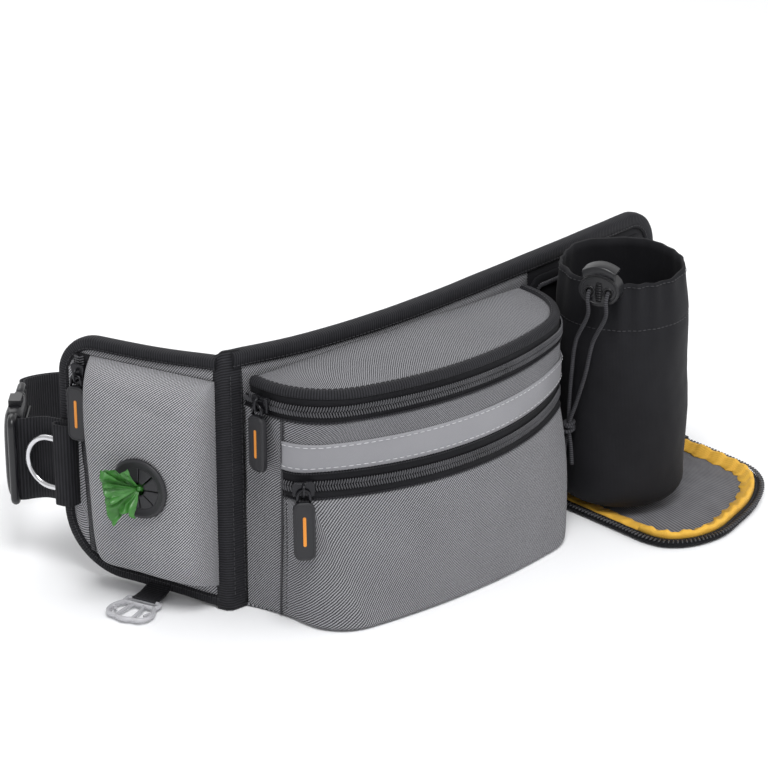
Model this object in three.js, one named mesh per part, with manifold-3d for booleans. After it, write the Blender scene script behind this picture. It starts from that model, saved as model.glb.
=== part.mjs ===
// A waist-worn treat pouch: a curved back panel with two wings, a zipped main pouch with a front
// pocket, a waste-bag pocket with a rubber dispenser, a drawstring bottle sleeve on a stow flap,
// and a webbing belt with a side-release buckle.
//
// Millimetres, +Z up. The origin is the centre of the main pouch's flat bottom. -Y is the front,
// +X is to the right when the front is looked at, and the wearer's waist is behind, at +Y.

import * as THREE from 'three';
import { mergeVertices } from 'three/addons/utils/BufferGeometryUtils.js';
import Module from 'manifold-3d';

const wasm = await Module();
wasm.setup();

// ---- driving dimensions ----

const GAP = 0.3;                 // clearance between pieces that touch on the real bag
const PANEL_THICK = 6;           // foam-filled back panel and wings
const PANEL_HEIGHT = 150;
const BINDING_WIDTH = 9;
const BINDING_PROUD = 1.2;       // how far the grosgrain stands out of each face of a panel
const FOOT_CLEARANCE = 3;        // bindings end this far above the floor

const BACK_POINTS = [[-115, 37], [0, 31], [117, 41], [240, 55]];   // plan of the back panel's front
const STRIP_WIDTH = 11;          // tape between the left wing's fold and the pouch
const DIVIDER_X = 117;           // where the right wing begins

const WING_ANGLE = THREE.MathUtils.degToRad(70);   // how far the left wing folds back
const WING_LENGTH = 108;
const WING_HEIGHT = 147;
const WING_FOLD_TRIM = 5.4;      // both panels stop short of the fold, so their backs stay clear
const WING_BINDING = 7;

// plan of the pouch at three heights: half width, corner radius, front and front arc radius
const POUCH_PLANS = [
  { z: 0, half: 96, corner: 30, front: -38, arc: 450 },
  { z: 85, half: 102, corner: 12, front: -37, arc: 165 },
  { z: 138, half: 104, corner: 50, front: -36, arc: 220 },
];
const WALL_THICK = 2;
const SEAM_Y = 1;                // the side gussets end and the front begins here
const POCKET_TOP = 77;
const FRONT_ZIP_TOP = 93;
const BAND_TOP = 122;
const REFLECTIVE_TOP = 110;
const TOP_ZIP_MID = 129;
const LID_BOTTOM = 136;
const LID_TOP = 140;
const LID_HINGE_Y = 25;
const DIVIDER_DEPTH = 9;         // the front pocket's inner wall, behind its front

const CHAIN_WIDTH = 6.4;
const CHAIN_PROUD = 1.6;

const SLEEVE = { x: 150, y: -5, radius: 39, bottom: 7, top: 153, wall: 1.5, round: 13 };
const SLEEVE_GUSSET = { half: 9, low: 36, high: 130 };   // web that joins the sleeve to the wing
const CORD_RADIUS = 1.15;

const WEBBING = 50;              // belt webbing width
const WEBBING_THICK = 1.6;
const BELT_Z = 70;               // middle of the belt where its tab is sewn on
const FREE_END_SHARE = 0.42;     // share of the strap that its free end doubles

const BAG_PARK = 126;            // height at which the bag pocket's slider is parked
const FRONT_PARK = THREE.MathUtils.degToRad(270 - 36);   // where the front slider stands on its arc
const FRONT_STANDOFF = 0.4;      // the front slider's clearance over its chain
const FRONT_LEAN = THREE.MathUtils.degToRad(9);          // its pull rests on the sloping pocket
const TOP_PARK = THREE.MathUtils.degToRad(182);          // where the top slider stands on its corner

// ---- small helpers ----

const v3 = (x, y, z) => new THREE.Vector3(x, y, z);
const mix = THREE.MathUtils.lerp;

function bare(geometry) {
  // positions only, with shared vertices merged
  const copy = geometry.clone();
  copy.deleteAttribute('normal');
  copy.deleteAttribute('uv');
  return mergeVertices(copy, 1e-4);
}

function orient(shape) {
  // turn the faces outwards if the closed surface was wound inwards
  const geometry = shape.index && !shape.attributes.normal ? shape : bare(shape);
  const p = geometry.attributes.position;
  const index = geometry.index.array;
  const [a, b, c] = [v3(), v3(), v3()];
  let volume = 0;
  for (let i = 0; i < index.length; i += 3) {
    a.fromBufferAttribute(p, index[i]);
    b.fromBufferAttribute(p, index[i + 1]);
    c.fromBufferAttribute(p, index[i + 2]);
    volume += a.dot(b.cross(c));
  }
  if (volume < 0) {
    for (let i = 0; i < index.length; i += 3) [index[i], index[i + 1]] = [index[i + 1], index[i]];
  }
  return geometry;
}

function meshOf(points, faces) {
  const geometry = new THREE.BufferGeometry();
  geometry.setAttribute('position', new THREE.Float32BufferAttribute(points.flatMap((p) => p.toArray()), 3));
  geometry.setIndex(faces);
  return orient(geometry);
}

function loft(rings, closed = false) {
  // skin a row of equal rings; an open row gets a fan about the middle of each end
  const size = rings[0].length;
  const points = rings.flat();
  const faces = [];
  const spans = closed ? rings.length : rings.length - 1;
  for (let i = 0; i < spans; i += 1) {
    const near = i * size;
    const far = ((i + 1) % rings.length) * size;
    for (let j = 0; j < size; j += 1) {
      const k = (j + 1) % size;
      faces.push(near + j, near + k, far + k, near + j, far + k, far + j);
    }
  }
  if (!closed) {
    const last = (rings.length - 1) * size;
    for (const [ring, start, flip] of [[rings[0], 0, true], [rings[rings.length - 1], last, false]]) {
      const middle = points.length;
      points.push(ring.reduce((sum, p) => sum.add(p), v3(0, 0, 0)).divideScalar(size));
      for (let j = 0; j < size; j += 1) {
        const k = (j + 1) % size;
        faces.push(middle, start + (flip ? k : j), start + (flip ? j : k));
      }
    }
  }
  return meshOf(points, faces);
}

function shell(outer, inner) {
  // a thin patch between two equal grids of points, joined all round their edge
  const [rows, cols] = [outer.length, outer[0].length];
  const points = [...outer.flat(), ...inner.flat()];
  const lower = rows * cols;
  const faces = [];
  const at = (i, j) => i * cols + j;
  for (let i = 0; i < rows - 1; i += 1) {
    for (let j = 0; j < cols - 1; j += 1) {
      const [a, b, c, d] = [at(i, j), at(i, j + 1), at(i + 1, j + 1), at(i + 1, j)];
      faces.push(a, b, c, a, c, d);
      faces.push(lower + a, lower + c, lower + b, lower + a, lower + d, lower + c);
    }
  }
  const edge = [];
  for (let j = 0; j < cols - 1; j += 1) edge.push(at(0, j));
  for (let i = 0; i < rows - 1; i += 1) edge.push(at(i, cols - 1));
  for (let j = cols - 1; j > 0; j -= 1) edge.push(at(rows - 1, j));
  for (let i = rows - 1; i > 0; i -= 1) edge.push(at(i, 0));
  edge.forEach((a, i) => {
    const b = edge[(i + 1) % edge.length];
    faces.push(b, a, lower + a, b, lower + a, lower + b);
  });
  return meshOf(points, faces);
}

function solidOf(geometry) {
  const merged = bare(geometry);
  return new wasm.Manifold(new wasm.Mesh({
    numProp: 3,
    vertProperties: new Float32Array(merged.attributes.position.array),
    triVerts: new Uint32Array(merged.index.array),
  }));
}

function geometryOf(solid) {
  const mesh = solid.getMesh();
  const geometry = new THREE.BufferGeometry();
  geometry.setAttribute('position', new THREE.Float32BufferAttribute(mesh.vertProperties, 3));
  geometry.setIndex(Array.from(mesh.triVerts));
  return geometry;
}

function carve(base, { add = [], cut = [] }) {
  let solid = solidOf(base);
  for (const piece of add) solid = solid.add(solidOf(piece));
  for (const piece of cut) solid = solid.subtract(solidOf(piece));
  return geometryOf(solid);
}

const box = (x0, x1, y0, y1, z0, z1) => new THREE.BoxGeometry(x1 - x0, y1 - y0, z1 - z0)
  .translate((x0 + x1) / 2, (y0 + y1) / 2, (z0 + z1) / 2);

// ---- frames that bend a flat layout (s along, z up, d towards the front) onto the bag ----

const backCurve = new THREE.CatmullRomCurve3(BACK_POINTS.map(([x, y]) => v3(x, y, 0)), false, 'centripetal');
const BACK_LENGTH = backCurve.getLength();

function onBack(s, z, d) {
  const u = s / BACK_LENGTH;
  const p = backCurve.getPointAt(u);
  const t = backCurve.getTangentAt(u);
  return v3(p.x + t.y * d, p.y - t.x * d, z);
}

const FOLD = onBack(0, 0, 0);
const WING_ALONG = v3(-Math.cos(WING_ANGLE), Math.sin(WING_ANGLE), 0);
const WING_NORMAL = v3(-Math.sin(WING_ANGLE), -Math.cos(WING_ANGLE), 0);

function onWing(s, z, d) {
  return FOLD.clone().addScaledVector(WING_ALONG, s).addScaledVector(WING_NORMAL, d).setZ(z);
}

function standOnWing(geometry) {
  // carry a piece modelled in (s, d, z) onto the left wing
  const turn = new THREE.Matrix4().makeBasis(WING_ALONG, WING_NORMAL, v3(0, 0, 1));
  return orient(geometry.applyMatrix4(turn).translate(FOLD.x, FOLD.y, 0));
}

function backStation(x) {
  // distance along the back panel at which its front reaches x
  let [low, high] = [0, 1];
  for (let i = 0; i < 30; i += 1) {
    const mid = (low + high) / 2;
    if (backCurve.getPointAt(mid).x < x) low = mid;
    else high = mid;
  }
  return low * BACK_LENGTH;
}

const backY = (x) => onBack(backStation(x), 0, 0).y;
const range = (from, to, steps) => Array.from({ length: steps + 1 }, (_, i) => mix(from, to, i / steps));

function panel(frame, from, to, low, high, steps, front = 0, back = -PANEL_THICK) {
  // a padded strip; low and high give its bottom and top at each station
  return loft(range(from, to, steps).map((s) => [
    frame(s, low(s), front), frame(s, high(s), front), frame(s, high(s), back), frame(s, low(s), back),
  ]));
}

function roundedEnd(end, radius, level, away) {
  // height of an outline whose corner near s = end is rounded; away is +1 below, -1 above
  return (s) => {
    const run = radius - (end - s);
    return run <= 0 ? level : level + away * (radius - Math.sqrt(Math.max(radius ** 2 - run ** 2, 0)));
  };
}

function arcPoints(cx, cy, radius, from, to, steps) {
  return range(from, to, steps).map((a) => [cx + radius * Math.cos(a), cy + radius * Math.sin(a)]);
}

function inset(path, distance, closed = false) {
  // move a plan path sideways, to the left of its direction
  return path.map((p, i) => {
    const before = path[closed ? (i + path.length - 1) % path.length : Math.max(i - 1, 0)];
    const after = path[closed ? (i + 1) % path.length : Math.min(i + 1, path.length - 1)];
    const a = new THREE.Vector2(p[0] - before[0], p[1] - before[1]).normalize();
    const b = new THREE.Vector2(after[0] - p[0], after[1] - p[1]).normalize();
    if (!closed && i === 0) a.copy(b);
    if (!closed && i === path.length - 1) b.copy(a);
    const normal = new THREE.Vector2(-a.y - b.y, a.x + b.x);
    const grow = 2 / normal.lengthSq();
    return [p[0] + normal.x * grow * distance, p[1] + normal.y * grow * distance];
  });
}

function edging(frame, path, width, front, back, closed = false) {
  // tape of a given width along the inside of an outline in (s, z)
  const inner = inset(path, width, closed);
  return loft(path.map(([s, z], i) => [
    frame(s, z, front), frame(s, z, back),
    frame(inner[i][0], inner[i][1], back), frame(inner[i][0], inner[i][1], front),
  ]), closed);
}

// ---- materials ----

const finish = (color, roughness, metalness = 0) => (
  new THREE.MeshStandardMaterial({ color, roughness, metalness })
);
const GREY_FABRIC = finish(0x77787a, 0.9);
const BLACK_TAPE = finish(0x1c1c1e, 0.85);
const MESH_FABRIC = finish(0x2a2a2c, 0.95);
const BLACK_FABRIC = finish(0x17171a, 0.8);
const LINING = finish(0x3a3a3d, 0.8);
const YELLOW_LINING = finish(0xe8a92c, 0.7);
const REFLECTIVE = finish(0xa9aaac, 0.35);
const RUBBER = finish(0x3a3b3d, 0.6);
const BLACK_PLASTIC = finish(0x141416, 0.4);
const DARK_METAL = finish(0x2b2b2d, 0.35, 0.8);
const LIGHT_PLASTIC = finish(0xd9dadd, 0.4);
const CHROME = finish(0xd0d0d2, 0.12, 1);
const GREEN_FILM = finish(0x3f9a3a, 0.45);
const CARD = finish(0xb59a72, 0.9);
const CORD = finish(0x202022, 0.7);

const bag = new THREE.Group();

function place(name, geometry, material) {
  const mesh = new THREE.Mesh(geometry, material);
  mesh.name = name;
  bag.add(mesh);
  return mesh;
}

// ---- back panel, wings and bindings ----

function makeBack() {
  const low = FOOT_CLEARANCE + BINDING_WIDTH + GAP;
  const high = PANEL_HEIGHT - BINDING_WIDTH - GAP;
  const divider = backStation(DIVIDER_X);
  const end = BACK_LENGTH;
  const endRadius = 24;
  const panelEnd = end - BINDING_WIDTH - GAP;
  const innerRadius = endRadius - BINDING_WIDTH;
  const middle = panel(onBack, STRIP_WIDTH + GAP, divider - GAP / 2, () => low, () => high, 8);
  place('back_panel', middle, GREY_FABRIC);
  place('right_wing_panel', panel(onBack, divider + GAP / 2, panelEnd,
    roundedEnd(panelEnd, innerRadius, low, 1), roundedEnd(panelEnd, innerRadius, high, -1), 9), BLACK_FABRIC);

  const outline = [
    ...range(WING_FOLD_TRIM, end - endRadius, 12).map((s) => [s, FOOT_CLEARANCE]),
    ...arcPoints(end - endRadius, FOOT_CLEARANCE + endRadius, endRadius, -Math.PI / 2, 0, 5).slice(1),
    ...arcPoints(end - endRadius, PANEL_HEIGHT - endRadius, endRadius, 0, Math.PI / 2, 5),
    ...range(end - endRadius, WING_FOLD_TRIM, 12).slice(1).map((s) => [s, PANEL_HEIGHT]),
  ];
  place('back_binding', edging(onBack, outline, BINDING_WIDTH, BINDING_PROUD,
    -PANEL_THICK - BINDING_PROUD), BLACK_TAPE);
  place('fold_strip', panel(onBack, WING_FOLD_TRIM, STRIP_WIDTH, () => low, () => high, 1,
    BINDING_PROUD, -PANEL_THICK - BINDING_PROUD), BLACK_TAPE);
  const padBack = -PANEL_THICK - GAP - 3;
  place('back_mesh_pad', panel(onBack, STRIP_WIDTH + 8, panelEnd - 20, () => low + 8, () => high - 8, 10,
    -PANEL_THICK - GAP, padBack), MESH_FABRIC);
}

function makeLeftWing() {
  const low = FOOT_CLEARANCE + WING_BINDING + GAP;
  const high = WING_HEIGHT - WING_BINDING - GAP;
  const [topRadius, footRadius] = [25, 38];
  const panelEnd = WING_LENGTH - WING_BINDING - GAP;
  place('left_wing_panel', panel(onWing, WING_FOLD_TRIM, panelEnd,
    roundedEnd(panelEnd, footRadius - WING_BINDING, low, 1),
    roundedEnd(panelEnd, topRadius - WING_BINDING, high, -1), 10), GREY_FABRIC);
  const outline = [
    ...range(WING_FOLD_TRIM, WING_LENGTH - footRadius, 4).map((s) => [s, FOOT_CLEARANCE]),
    ...arcPoints(WING_LENGTH - footRadius, FOOT_CLEARANCE + footRadius, footRadius, -Math.PI / 2, 0, 6)
      .slice(1),
    ...arcPoints(WING_LENGTH - topRadius, WING_HEIGHT - topRadius, topRadius, 0, Math.PI / 2, 5),
    ...range(WING_LENGTH - topRadius, WING_FOLD_TRIM, 4).slice(1).map((s) => [s, WING_HEIGHT]),
  ];
  place('left_wing_binding', edging(onWing, outline, WING_BINDING, BINDING_PROUD,
    -PANEL_THICK - BINDING_PROUD), BLACK_TAPE);
}

// ---- main pouch ----

function pouchPlan(z) {
  const upper = Math.max(1, POUCH_PLANS.findIndex((plan) => z <= plan.z));
  const [a, b] = [POUCH_PLANS[upper - 1], POUCH_PLANS[upper]];
  const t = (z - a.z) / (b.z - a.z);
  const half = mix(a.half, b.half, t);
  const corner = mix(a.corner, b.corner, t);
  const front = mix(a.front, b.front, t);
  const arc = 1 / mix(1 / a.arc, 1 / b.arc, t);
  const arcY = front + arc;
  const cornerX = half - corner;
  const cornerY = arcY - Math.sqrt((arc - corner) ** 2 - cornerX ** 2);
  return { half, corner, front, arc, arcY, cornerX, cornerY, turn: Math.atan2(cornerX, arcY - cornerY) };
}

function pouchPath(z, depth, backFrom, steps = [1, 5, 5]) {
  // plan of the wall, from the back on the left round the front to the back on the right;
  // backFrom is where the side walls start, and depth is how far inside the outer face it runs
  const p = pouchPlan(z);
  const [cornerR, arcR] = [p.corner - depth, p.arc - depth];
  const left = [
    ...range(backFrom, p.cornerY, steps[0]).map((y) => [-p.half + depth, y]).slice(0, -1),
    ...arcPoints(-p.cornerX, p.cornerY, cornerR, Math.PI, 1.5 * Math.PI - p.turn, steps[1]),
    ...arcPoints(0, p.arcY, arcR, 1.5 * Math.PI - p.turn, 1.5 * Math.PI, steps[2]).slice(1),
  ];
  return [...left, ...left.slice(0, -1).reverse().map(([x, y]) => [-x, y])];
}

function wall(levels, depth, thick, pick, backFrom) {
  // a curved wall between heights; pick chooses the stretch of the plan that this piece covers
  const grid = (extra) => levels.map((z) => pick(pouchPath(z, depth + extra, backFrom))
    .map(([x, y]) => v3(x, y, z)));
  return shell(grid(0), grid(thick));
}

const SIDE_POINTS = 3;           // plan points from the back to the front pocket's seam
const leftSide = (path) => path.slice(0, SIDE_POINTS);
const rightSide = (path) => path.slice(-SIDE_POINTS);
const frontSide = (path) => path.slice(SIDE_POINTS - 1, path.length - SIDE_POINTS + 1);

function makePouch() {
  const sideBack = 33.8;
  const trim = (path) => {
    // leave the seam gap between the front and the side gussets
    const cut = [...path];
    for (const [end, next] of [[0, 1], [cut.length - 1, cut.length - 2]]) {
      const t = GAP / Math.hypot(cut[next][0] - cut[end][0], cut[next][1] - cut[end][1]);
      cut[end] = [mix(cut[end][0], cut[next][0], t), mix(cut[end][1], cut[next][1], t)];
    }
    return cut;
  };
  const front = (path) => trim(frontSide(path));
  place('left_gusset', wall([0, 42, 85, BAND_TOP - GAP], 0, WALL_THICK, leftSide, sideBack), GREY_FABRIC);
  place('right_gusset', wall([0, 42, 85, BAND_TOP - GAP], 0, WALL_THICK, rightSide, sideBack), GREY_FABRIC);
  place('front_pocket_panel', wall([0, 38, POCKET_TOP - GAP], 0, WALL_THICK, front, sideBack), GREY_FABRIC);
  const bandLevels = [FRONT_ZIP_TOP + GAP, REFLECTIVE_TOP, BAND_TOP - GAP];
  place('upper_band', wall(bandLevels, 0, WALL_THICK, front, sideBack), GREY_FABRIC);
  const stripLevels = [FRONT_ZIP_TOP + 0.8, REFLECTIVE_TOP];
  place('reflective_strip', wall(stripLevels, -1, 1 - GAP, front, sideBack), REFLECTIVE);
  const dividerLevels = [2.6, 42, 85, BAND_TOP - 1];
  place('pocket_divider', wall(dividerLevels, DIVIDER_DEPTH, 1.5, frontSide, sideBack), LINING);

  const foot = pouchPath(0, WALL_THICK + 2 * GAP, sideBack);
  const heel = range(foot.at(-1)[0], foot[0][0], 8).slice(1, -1)
    .map((x) => [x, backY(x) - BINDING_PROUD - GAP]);
  const shape = new THREE.Shape([...foot, ...heel].map(([x, y]) => new THREE.Vector2(x, y)));
  const plate = new THREE.ExtrudeGeometry(shape, { depth: WALL_THICK, bevelEnabled: false });
  place('pouch_bottom', plate, GREY_FABRIC);
  makeFrontZip(front, sideBack);
  makeTopZip(sideBack);
}

function makeFrontZip(front, sideBack) {
  const mid = (POCKET_TOP + FRONT_ZIP_TOP) / 2;
  const half = CHAIN_WIDTH / 2;
  const section = [
    [POCKET_TOP, 0], [mid - half, 0], [mid - half, -CHAIN_PROUD], [mid + half, -CHAIN_PROUD], [mid + half, 0],
    [FRONT_ZIP_TOP, 0], [FRONT_ZIP_TOP, WALL_THICK], [POCKET_TOP, WALL_THICK],
  ];
  place('front_zip', sweepWall(section, front, sideBack), BLACK_TAPE);
}

function makeTopZip(sideBack) {
  const half = CHAIN_WIDTH / 2;
  const whole = (path) => path;
  const lower = [
    [BAND_TOP, 0], [TOP_ZIP_MID - half, 0], [TOP_ZIP_MID - half, -CHAIN_PROUD],
    [TOP_ZIP_MID - GAP / 2, -CHAIN_PROUD], [TOP_ZIP_MID - GAP / 2, WALL_THICK], [BAND_TOP, WALL_THICK],
  ];
  const upper = [
    [LID_BOTTOM - GAP, 0], [TOP_ZIP_MID + half, 0], [TOP_ZIP_MID + half, -CHAIN_PROUD],
    [TOP_ZIP_MID + GAP / 2, -CHAIN_PROUD], [TOP_ZIP_MID + GAP / 2, WALL_THICK],
    [LID_BOTTOM - GAP, WALL_THICK],
  ];
  place('top_zip_lower', sweepWall(lower, whole, sideBack), BLACK_TAPE);
  place('top_zip_upper', sweepWall(upper, whole, LID_HINGE_Y - 1), BLACK_TAPE);
}

function sweepWall(section, pick, backFrom) {
  // carry a section of (height, depth) points round the pouch's plan
  const paths = section.map(([z, depth]) => pick(pouchPath(z, depth, backFrom))
    .map(([x, y]) => v3(x, y, z)));
  return loft(paths[0].map((_, i) => paths.map((path) => path[i])));
}

function makeLid() {
  const rimWidth = 5;
  const lidPlan = (depth) => pouchPath(POUCH_PLANS.at(-1).z, depth, LID_HINGE_Y + 4);
  const [outer, inner] = [lidPlan(-0.8), lidPlan(rimWidth)];
  place('lid_binding', loft(outer.map(([x, y], i) => [
    v3(x, y, LID_BOTTOM), v3(x, y, LID_TOP), v3(...inner[i], LID_TOP), v3(...inner[i], LID_BOTTOM),
  ])), BLACK_TAPE);
  const rim = lidPlan(rimWidth + GAP);
  const half = (rim.length - 1) / 2;
  const backEdge = (x) => Math.min(backY(x) - BINDING_PROUD - 0.5, LID_HINGE_Y + 5);
  const row = (lift) => range(0, 1, 3).map((t) => rim.map(([x, y]) => {
    const across = mix(y, backEdge(x), t);
    return v3(x, across, LID_BOTTOM + lift + 2 * t * (1 - (Math.abs(x) / rim[0][0]) ** 2));
  }));
  const inside = (grid) => grid.map((line) => line.slice(1, 2 * half));
  place('lid_panel', shell(inside(row(3)), inside(row(0.4))), GREY_FABRIC);
}

// ---- waste-bag pocket on the left wing ----

const POCKET = { from: 5.6, low: 15, high: 137, bulge: 25, wall: 1.5 };
const GROMMET = { s: 40, z: 76.5, radius: 17.5, hole: 12.6, neck: 4.4, slits: 8 };
const ROLL = { s: 46, low: 44, depth: 9.8, radius: 8.4, core: 4, height: 60 };
const BAG_ZIP_TOP = 1.8;          // face of the bag zip's tape above the wing
const BAG_ZIP = { low: 24, high: 132, foot: 86, head: 91.5, tape: 4.4 };

// the bag pocket's zip leans outwards as it rises
const zipStation = (z) => mix(BAG_ZIP.foot, BAG_ZIP.head, (z - BAG_ZIP.low) / (BAG_ZIP.high - BAG_ZIP.low));
const pocketEnd = (z) => zipStation(z) - BAG_ZIP.tape - 2.4;

function pocketDepth(s, z) {
  const u = 2 * (s - POCKET.from) / (pocketEnd(z) - POCKET.from) - 1;
  const w = 2 * (z - POCKET.low) / (POCKET.high - POCKET.low) - 1;
  const rise = (t) => Math.sqrt(Math.max(1 - Math.abs(t) ** 7, 0));
  return 2 + (POCKET.bulge - 2) * rise(u) * rise(w);
}

function makeBagPocket() {
  const spread = (t) => Math.sin(t * Math.PI / 2);
  const rows = range(-1, 1, 10).map((t) => (spread(t) + 1) / 2);
  const cols = range(-1, 1, 12).map((t) => mix(POCKET.low, POCKET.high, (spread(t) + 1) / 2));
  const grid = (drop) => rows.map((t) => cols.map((z) => {
    const s = mix(POCKET.from, pocketEnd(z), t);
    return onWing(s, z, pocketDepth(s, z) - drop);
  }));
  const hole = new THREE.CylinderGeometry(GROMMET.hole + GAP, GROMMET.hole + GAP, 20, 24);
  const axis = new THREE.Quaternion().setFromUnitVectors(v3(0, 1, 0), WING_NORMAL);
  const middle = onWing(GROMMET.s, GROMMET.z, POCKET.bulge);
  hole.applyQuaternion(axis).translate(middle.x, middle.y, middle.z);
  place('bag_pocket', carve(shell(grid(0), grid(POCKET.wall)), { cut: [hole] }), GREY_FABRIC);

  const [half, tape, top] = [CHAIN_WIDTH / 2, BAG_ZIP.tape, BAG_ZIP_TOP];
  const section = [[-tape, GAP], [-tape, top], [-half, top], [-half, top + CHAIN_PROUD],
    [half, top + CHAIN_PROUD], [half, top], [tape, top], [tape, GAP]];
  place('bag_zip', loft([BAG_ZIP.low, BAG_ZIP.high].map((z) => section
    .map(([s, d]) => onWing(zipStation(z) + s, z, d)))), BLACK_TAPE);
  const outer = WING_LENGTH - WING_BINDING - 1.4;
  place('pocket_edge_strip', loft([40, 126].map((z) => [
    onWing(zipStation(z) + tape + GAP, z, GAP), onWing(zipStation(z) + tape + GAP, z, top),
    onWing(outer, z, top), onWing(outer, z, GAP),
  ])), GREY_FABRIC);
}

function turned(profile, steps) {
  // a ring or disc turned about +Z, its profile given as (radius, height)
  const points = profile.map(([r, h]) => new THREE.Vector2(r, h));
  return new THREE.LatheGeometry(points, steps).rotateX(Math.PI / 2);
}

function onPocketFace(geometry, depth) {
  // stand a piece modelled about +Z on the pocket's face, at the dispenser
  const axis = new THREE.Quaternion().setFromUnitVectors(v3(0, 0, 1), WING_NORMAL);
  const middle = onWing(GROMMET.s, GROMMET.z, depth);
  return geometry.applyQuaternion(axis).translate(middle.x, middle.y, middle.z);
}

function makeDispenser() {
  const { radius: rim, hole, neck, slits: count } = GROMMET;
  const disc = turned([
    [neck, -1.2], [hole, -1.2], [hole, 0.4], [rim, 0.4], [rim, 1.6], [rim - 1.2, 2.6],
    [rim - 2.6, 1.6], [neck, 1.2], [neck, -1.2]], 24);
  const slits = [];
  for (let i = 0; i < count; i += 1) {
    slits.push(box(neck - 1, rim - 5.5, -0.35, 0.35, -3, 3).rotateZ((2 * Math.PI * i) / count));
  }
  place('dispenser_grommet', onPocketFace(carve(disc, { cut: slits }), POCKET.bulge), RUBBER);
  place('grommet_backing', onPocketFace(turned([[hole + 0.6, -1.2], [rim, -1.2], [rim, 0], [hole + 0.6, 0],
    [hole + 0.6, -1.2]], 24), POCKET.bulge - POCKET.wall - 1.2), RUBBER);

  const folds = 7;
  const tailAt = (height, radius, ruffle) => range(0, folds * 2 - 1, folds * 2 - 1).map((i) => {
    const a = (i * Math.PI) / folds;
    const r = radius * (1 + (i % 2 ? -ruffle : ruffle));
    return v3(r * Math.cos(a) - height * 0.35, r * Math.sin(a) - height * 0.18, height);
  });
  const tail = loft([
    tailAt(-6, 2.6, 0.08), tailAt(3, 3, 0.08), tailAt(9, 9, 0.22), tailAt(17, 17, 0.28), tailAt(22, 12, 0.4),
  ]);
  const spun = new THREE.Matrix4().makeBasis(WING_ALONG, v3(0, 0, 1), WING_NORMAL);
  const middle = onWing(GROMMET.s, GROMMET.z, POCKET.bulge);
  tail.applyMatrix4(spun).translate(middle.x, middle.y, middle.z);
  place('waste_bag_tail', orient(tail), GREEN_FILM);
}

function makeRoll() {
  const at = onWing(ROLL.s, ROLL.low, ROLL.depth);
  const tube = (inner, outer, steps) => turned(
    [[inner, 0], [outer, 0], [outer, ROLL.height], [inner, ROLL.height], [inner, 0]], steps,
  ).translate(at.x, at.y, at.z);
  place('waste_bag_roll', tube(ROLL.core + GAP, ROLL.radius, 20), GREEN_FILM);
  place('roll_core', tube(ROLL.core - 1, ROLL.core, 16), CARD);
}

// ---- zip sliders and pulls ----

const SLIDER = { along: 12, across: 9, plate: 1.8, lift: 0.9, bailGap: 2.6, bail: 1.2 };
const PULL = { width: 12, length: 32.5, thick: 3.6, wire: 0.8, loop: 3.4, leg: 6 };

function sliderAt(origin, tangent, outward, upright) {
  // the slider's plate, side flanges and bail, on a chain whose top is at origin
  const [a, b] = upright ? [SLIDER.across / 2, SLIDER.along / 2] : [SLIDER.along / 2, SLIDER.across / 2];
  const base = SLIDER.lift;
  const top = base + SLIDER.plate;
  const bar = top + SLIDER.bailGap;
  const pieces = [box(-0.8, 0.8, -3.6, -2.2, top - 0.5, bar + 0.5),
    box(-0.8, 0.8, 2.2, 3.6, top - 0.5, bar + 0.5),
    box(-0.8, 0.8, -3.6, 3.6, bar, bar + SLIDER.bail)];
  const body = carve(box(-a, a, -b, b, base, top), { add: pieces });
  return toWorld(body, origin, tangent, outward);
}

function toWorld(geometry, origin, tangent, outward) {
  // local x runs along the tangent, local y is up and local z points outwards
  const frame = new THREE.Matrix4().makeBasis(tangent, v3(0, 0, 1), outward);
  if (frame.determinant() < 0) frame.makeBasis(tangent.clone().negate(), v3(0, 0, 1), outward);
  return orient(geometry.applyMatrix4(frame).translate(origin.x, origin.y, origin.z));
}

function wireLoop(centre, legs, radius, wire, sides = 6) {
  // an upturned U of wire in the x-y plane: half a circle and two legs
  const foot = centre - legs;
  const path = [[-radius, foot], ...arcPoints(0, centre, radius, Math.PI, 0, 8), [radius, foot]];
  const rings = path.map(([x, y], i) => {
    const angle = i === 0 ? Math.PI : i === path.length - 1 ? 0 : Math.PI - (Math.PI * (i - 1)) / 8;
    return range(0, sides - 1, sides - 1).map((k) => {
      const turn = (2 * Math.PI * k) / sides;
      const out = wire * Math.cos(turn);
      return v3(x + out * Math.cos(angle), y + out * Math.sin(angle), wire * Math.sin(turn));
    });
  });
  return loft(rings);
}

function pullShape() {
  const [w, l, r] = [PULL.width / 2, PULL.length, 4];
  const shape = new THREE.Shape();
  shape.moveTo(-w + r, 0);
  shape.absarc(-w + r, -r, r, Math.PI / 2, Math.PI, false);
  shape.absarc(-w + r, -l + r, r, Math.PI, 1.5 * Math.PI, false);
  shape.absarc(w - r, -l + r, r, 1.5 * Math.PI, 2 * Math.PI, false);
  shape.absarc(w - r, -r, r, 0, Math.PI / 2, false);
  return new THREE.ExtrudeGeometry(shape, { depth: PULL.thick, bevelEnabled: false, curveSegments: 4 })
    .translate(0, 0, -PULL.thick / 2);
}

function makeSlider(prefix, origin, tangent, outward, { upright = false, lean = 0 } = {}) {
  // lean swings the pull out from hanging, where the cloth below it slopes outwards
  place(`${prefix}_slider`, sliderAt(origin, tangent, outward, upright), DARK_METAL);
  const ringPlane = SLIDER.lift + SLIDER.plate + SLIDER.bailGap / 2;
  const hang = (piece) => toWorld(piece.rotateX(-lean).translate(0, 0, ringPlane), origin, tangent, outward);
  const ring = wireLoop(-PULL.loop, PULL.leg - PULL.loop, PULL.loop, PULL.wire);
  place(`${prefix}_pull_ring`, hang(ring), DARK_METAL);
  place(`${prefix}_pull_tab`, hang(pullShape().translate(0, -PULL.leg - GAP, 0)), RUBBER);
}

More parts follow.
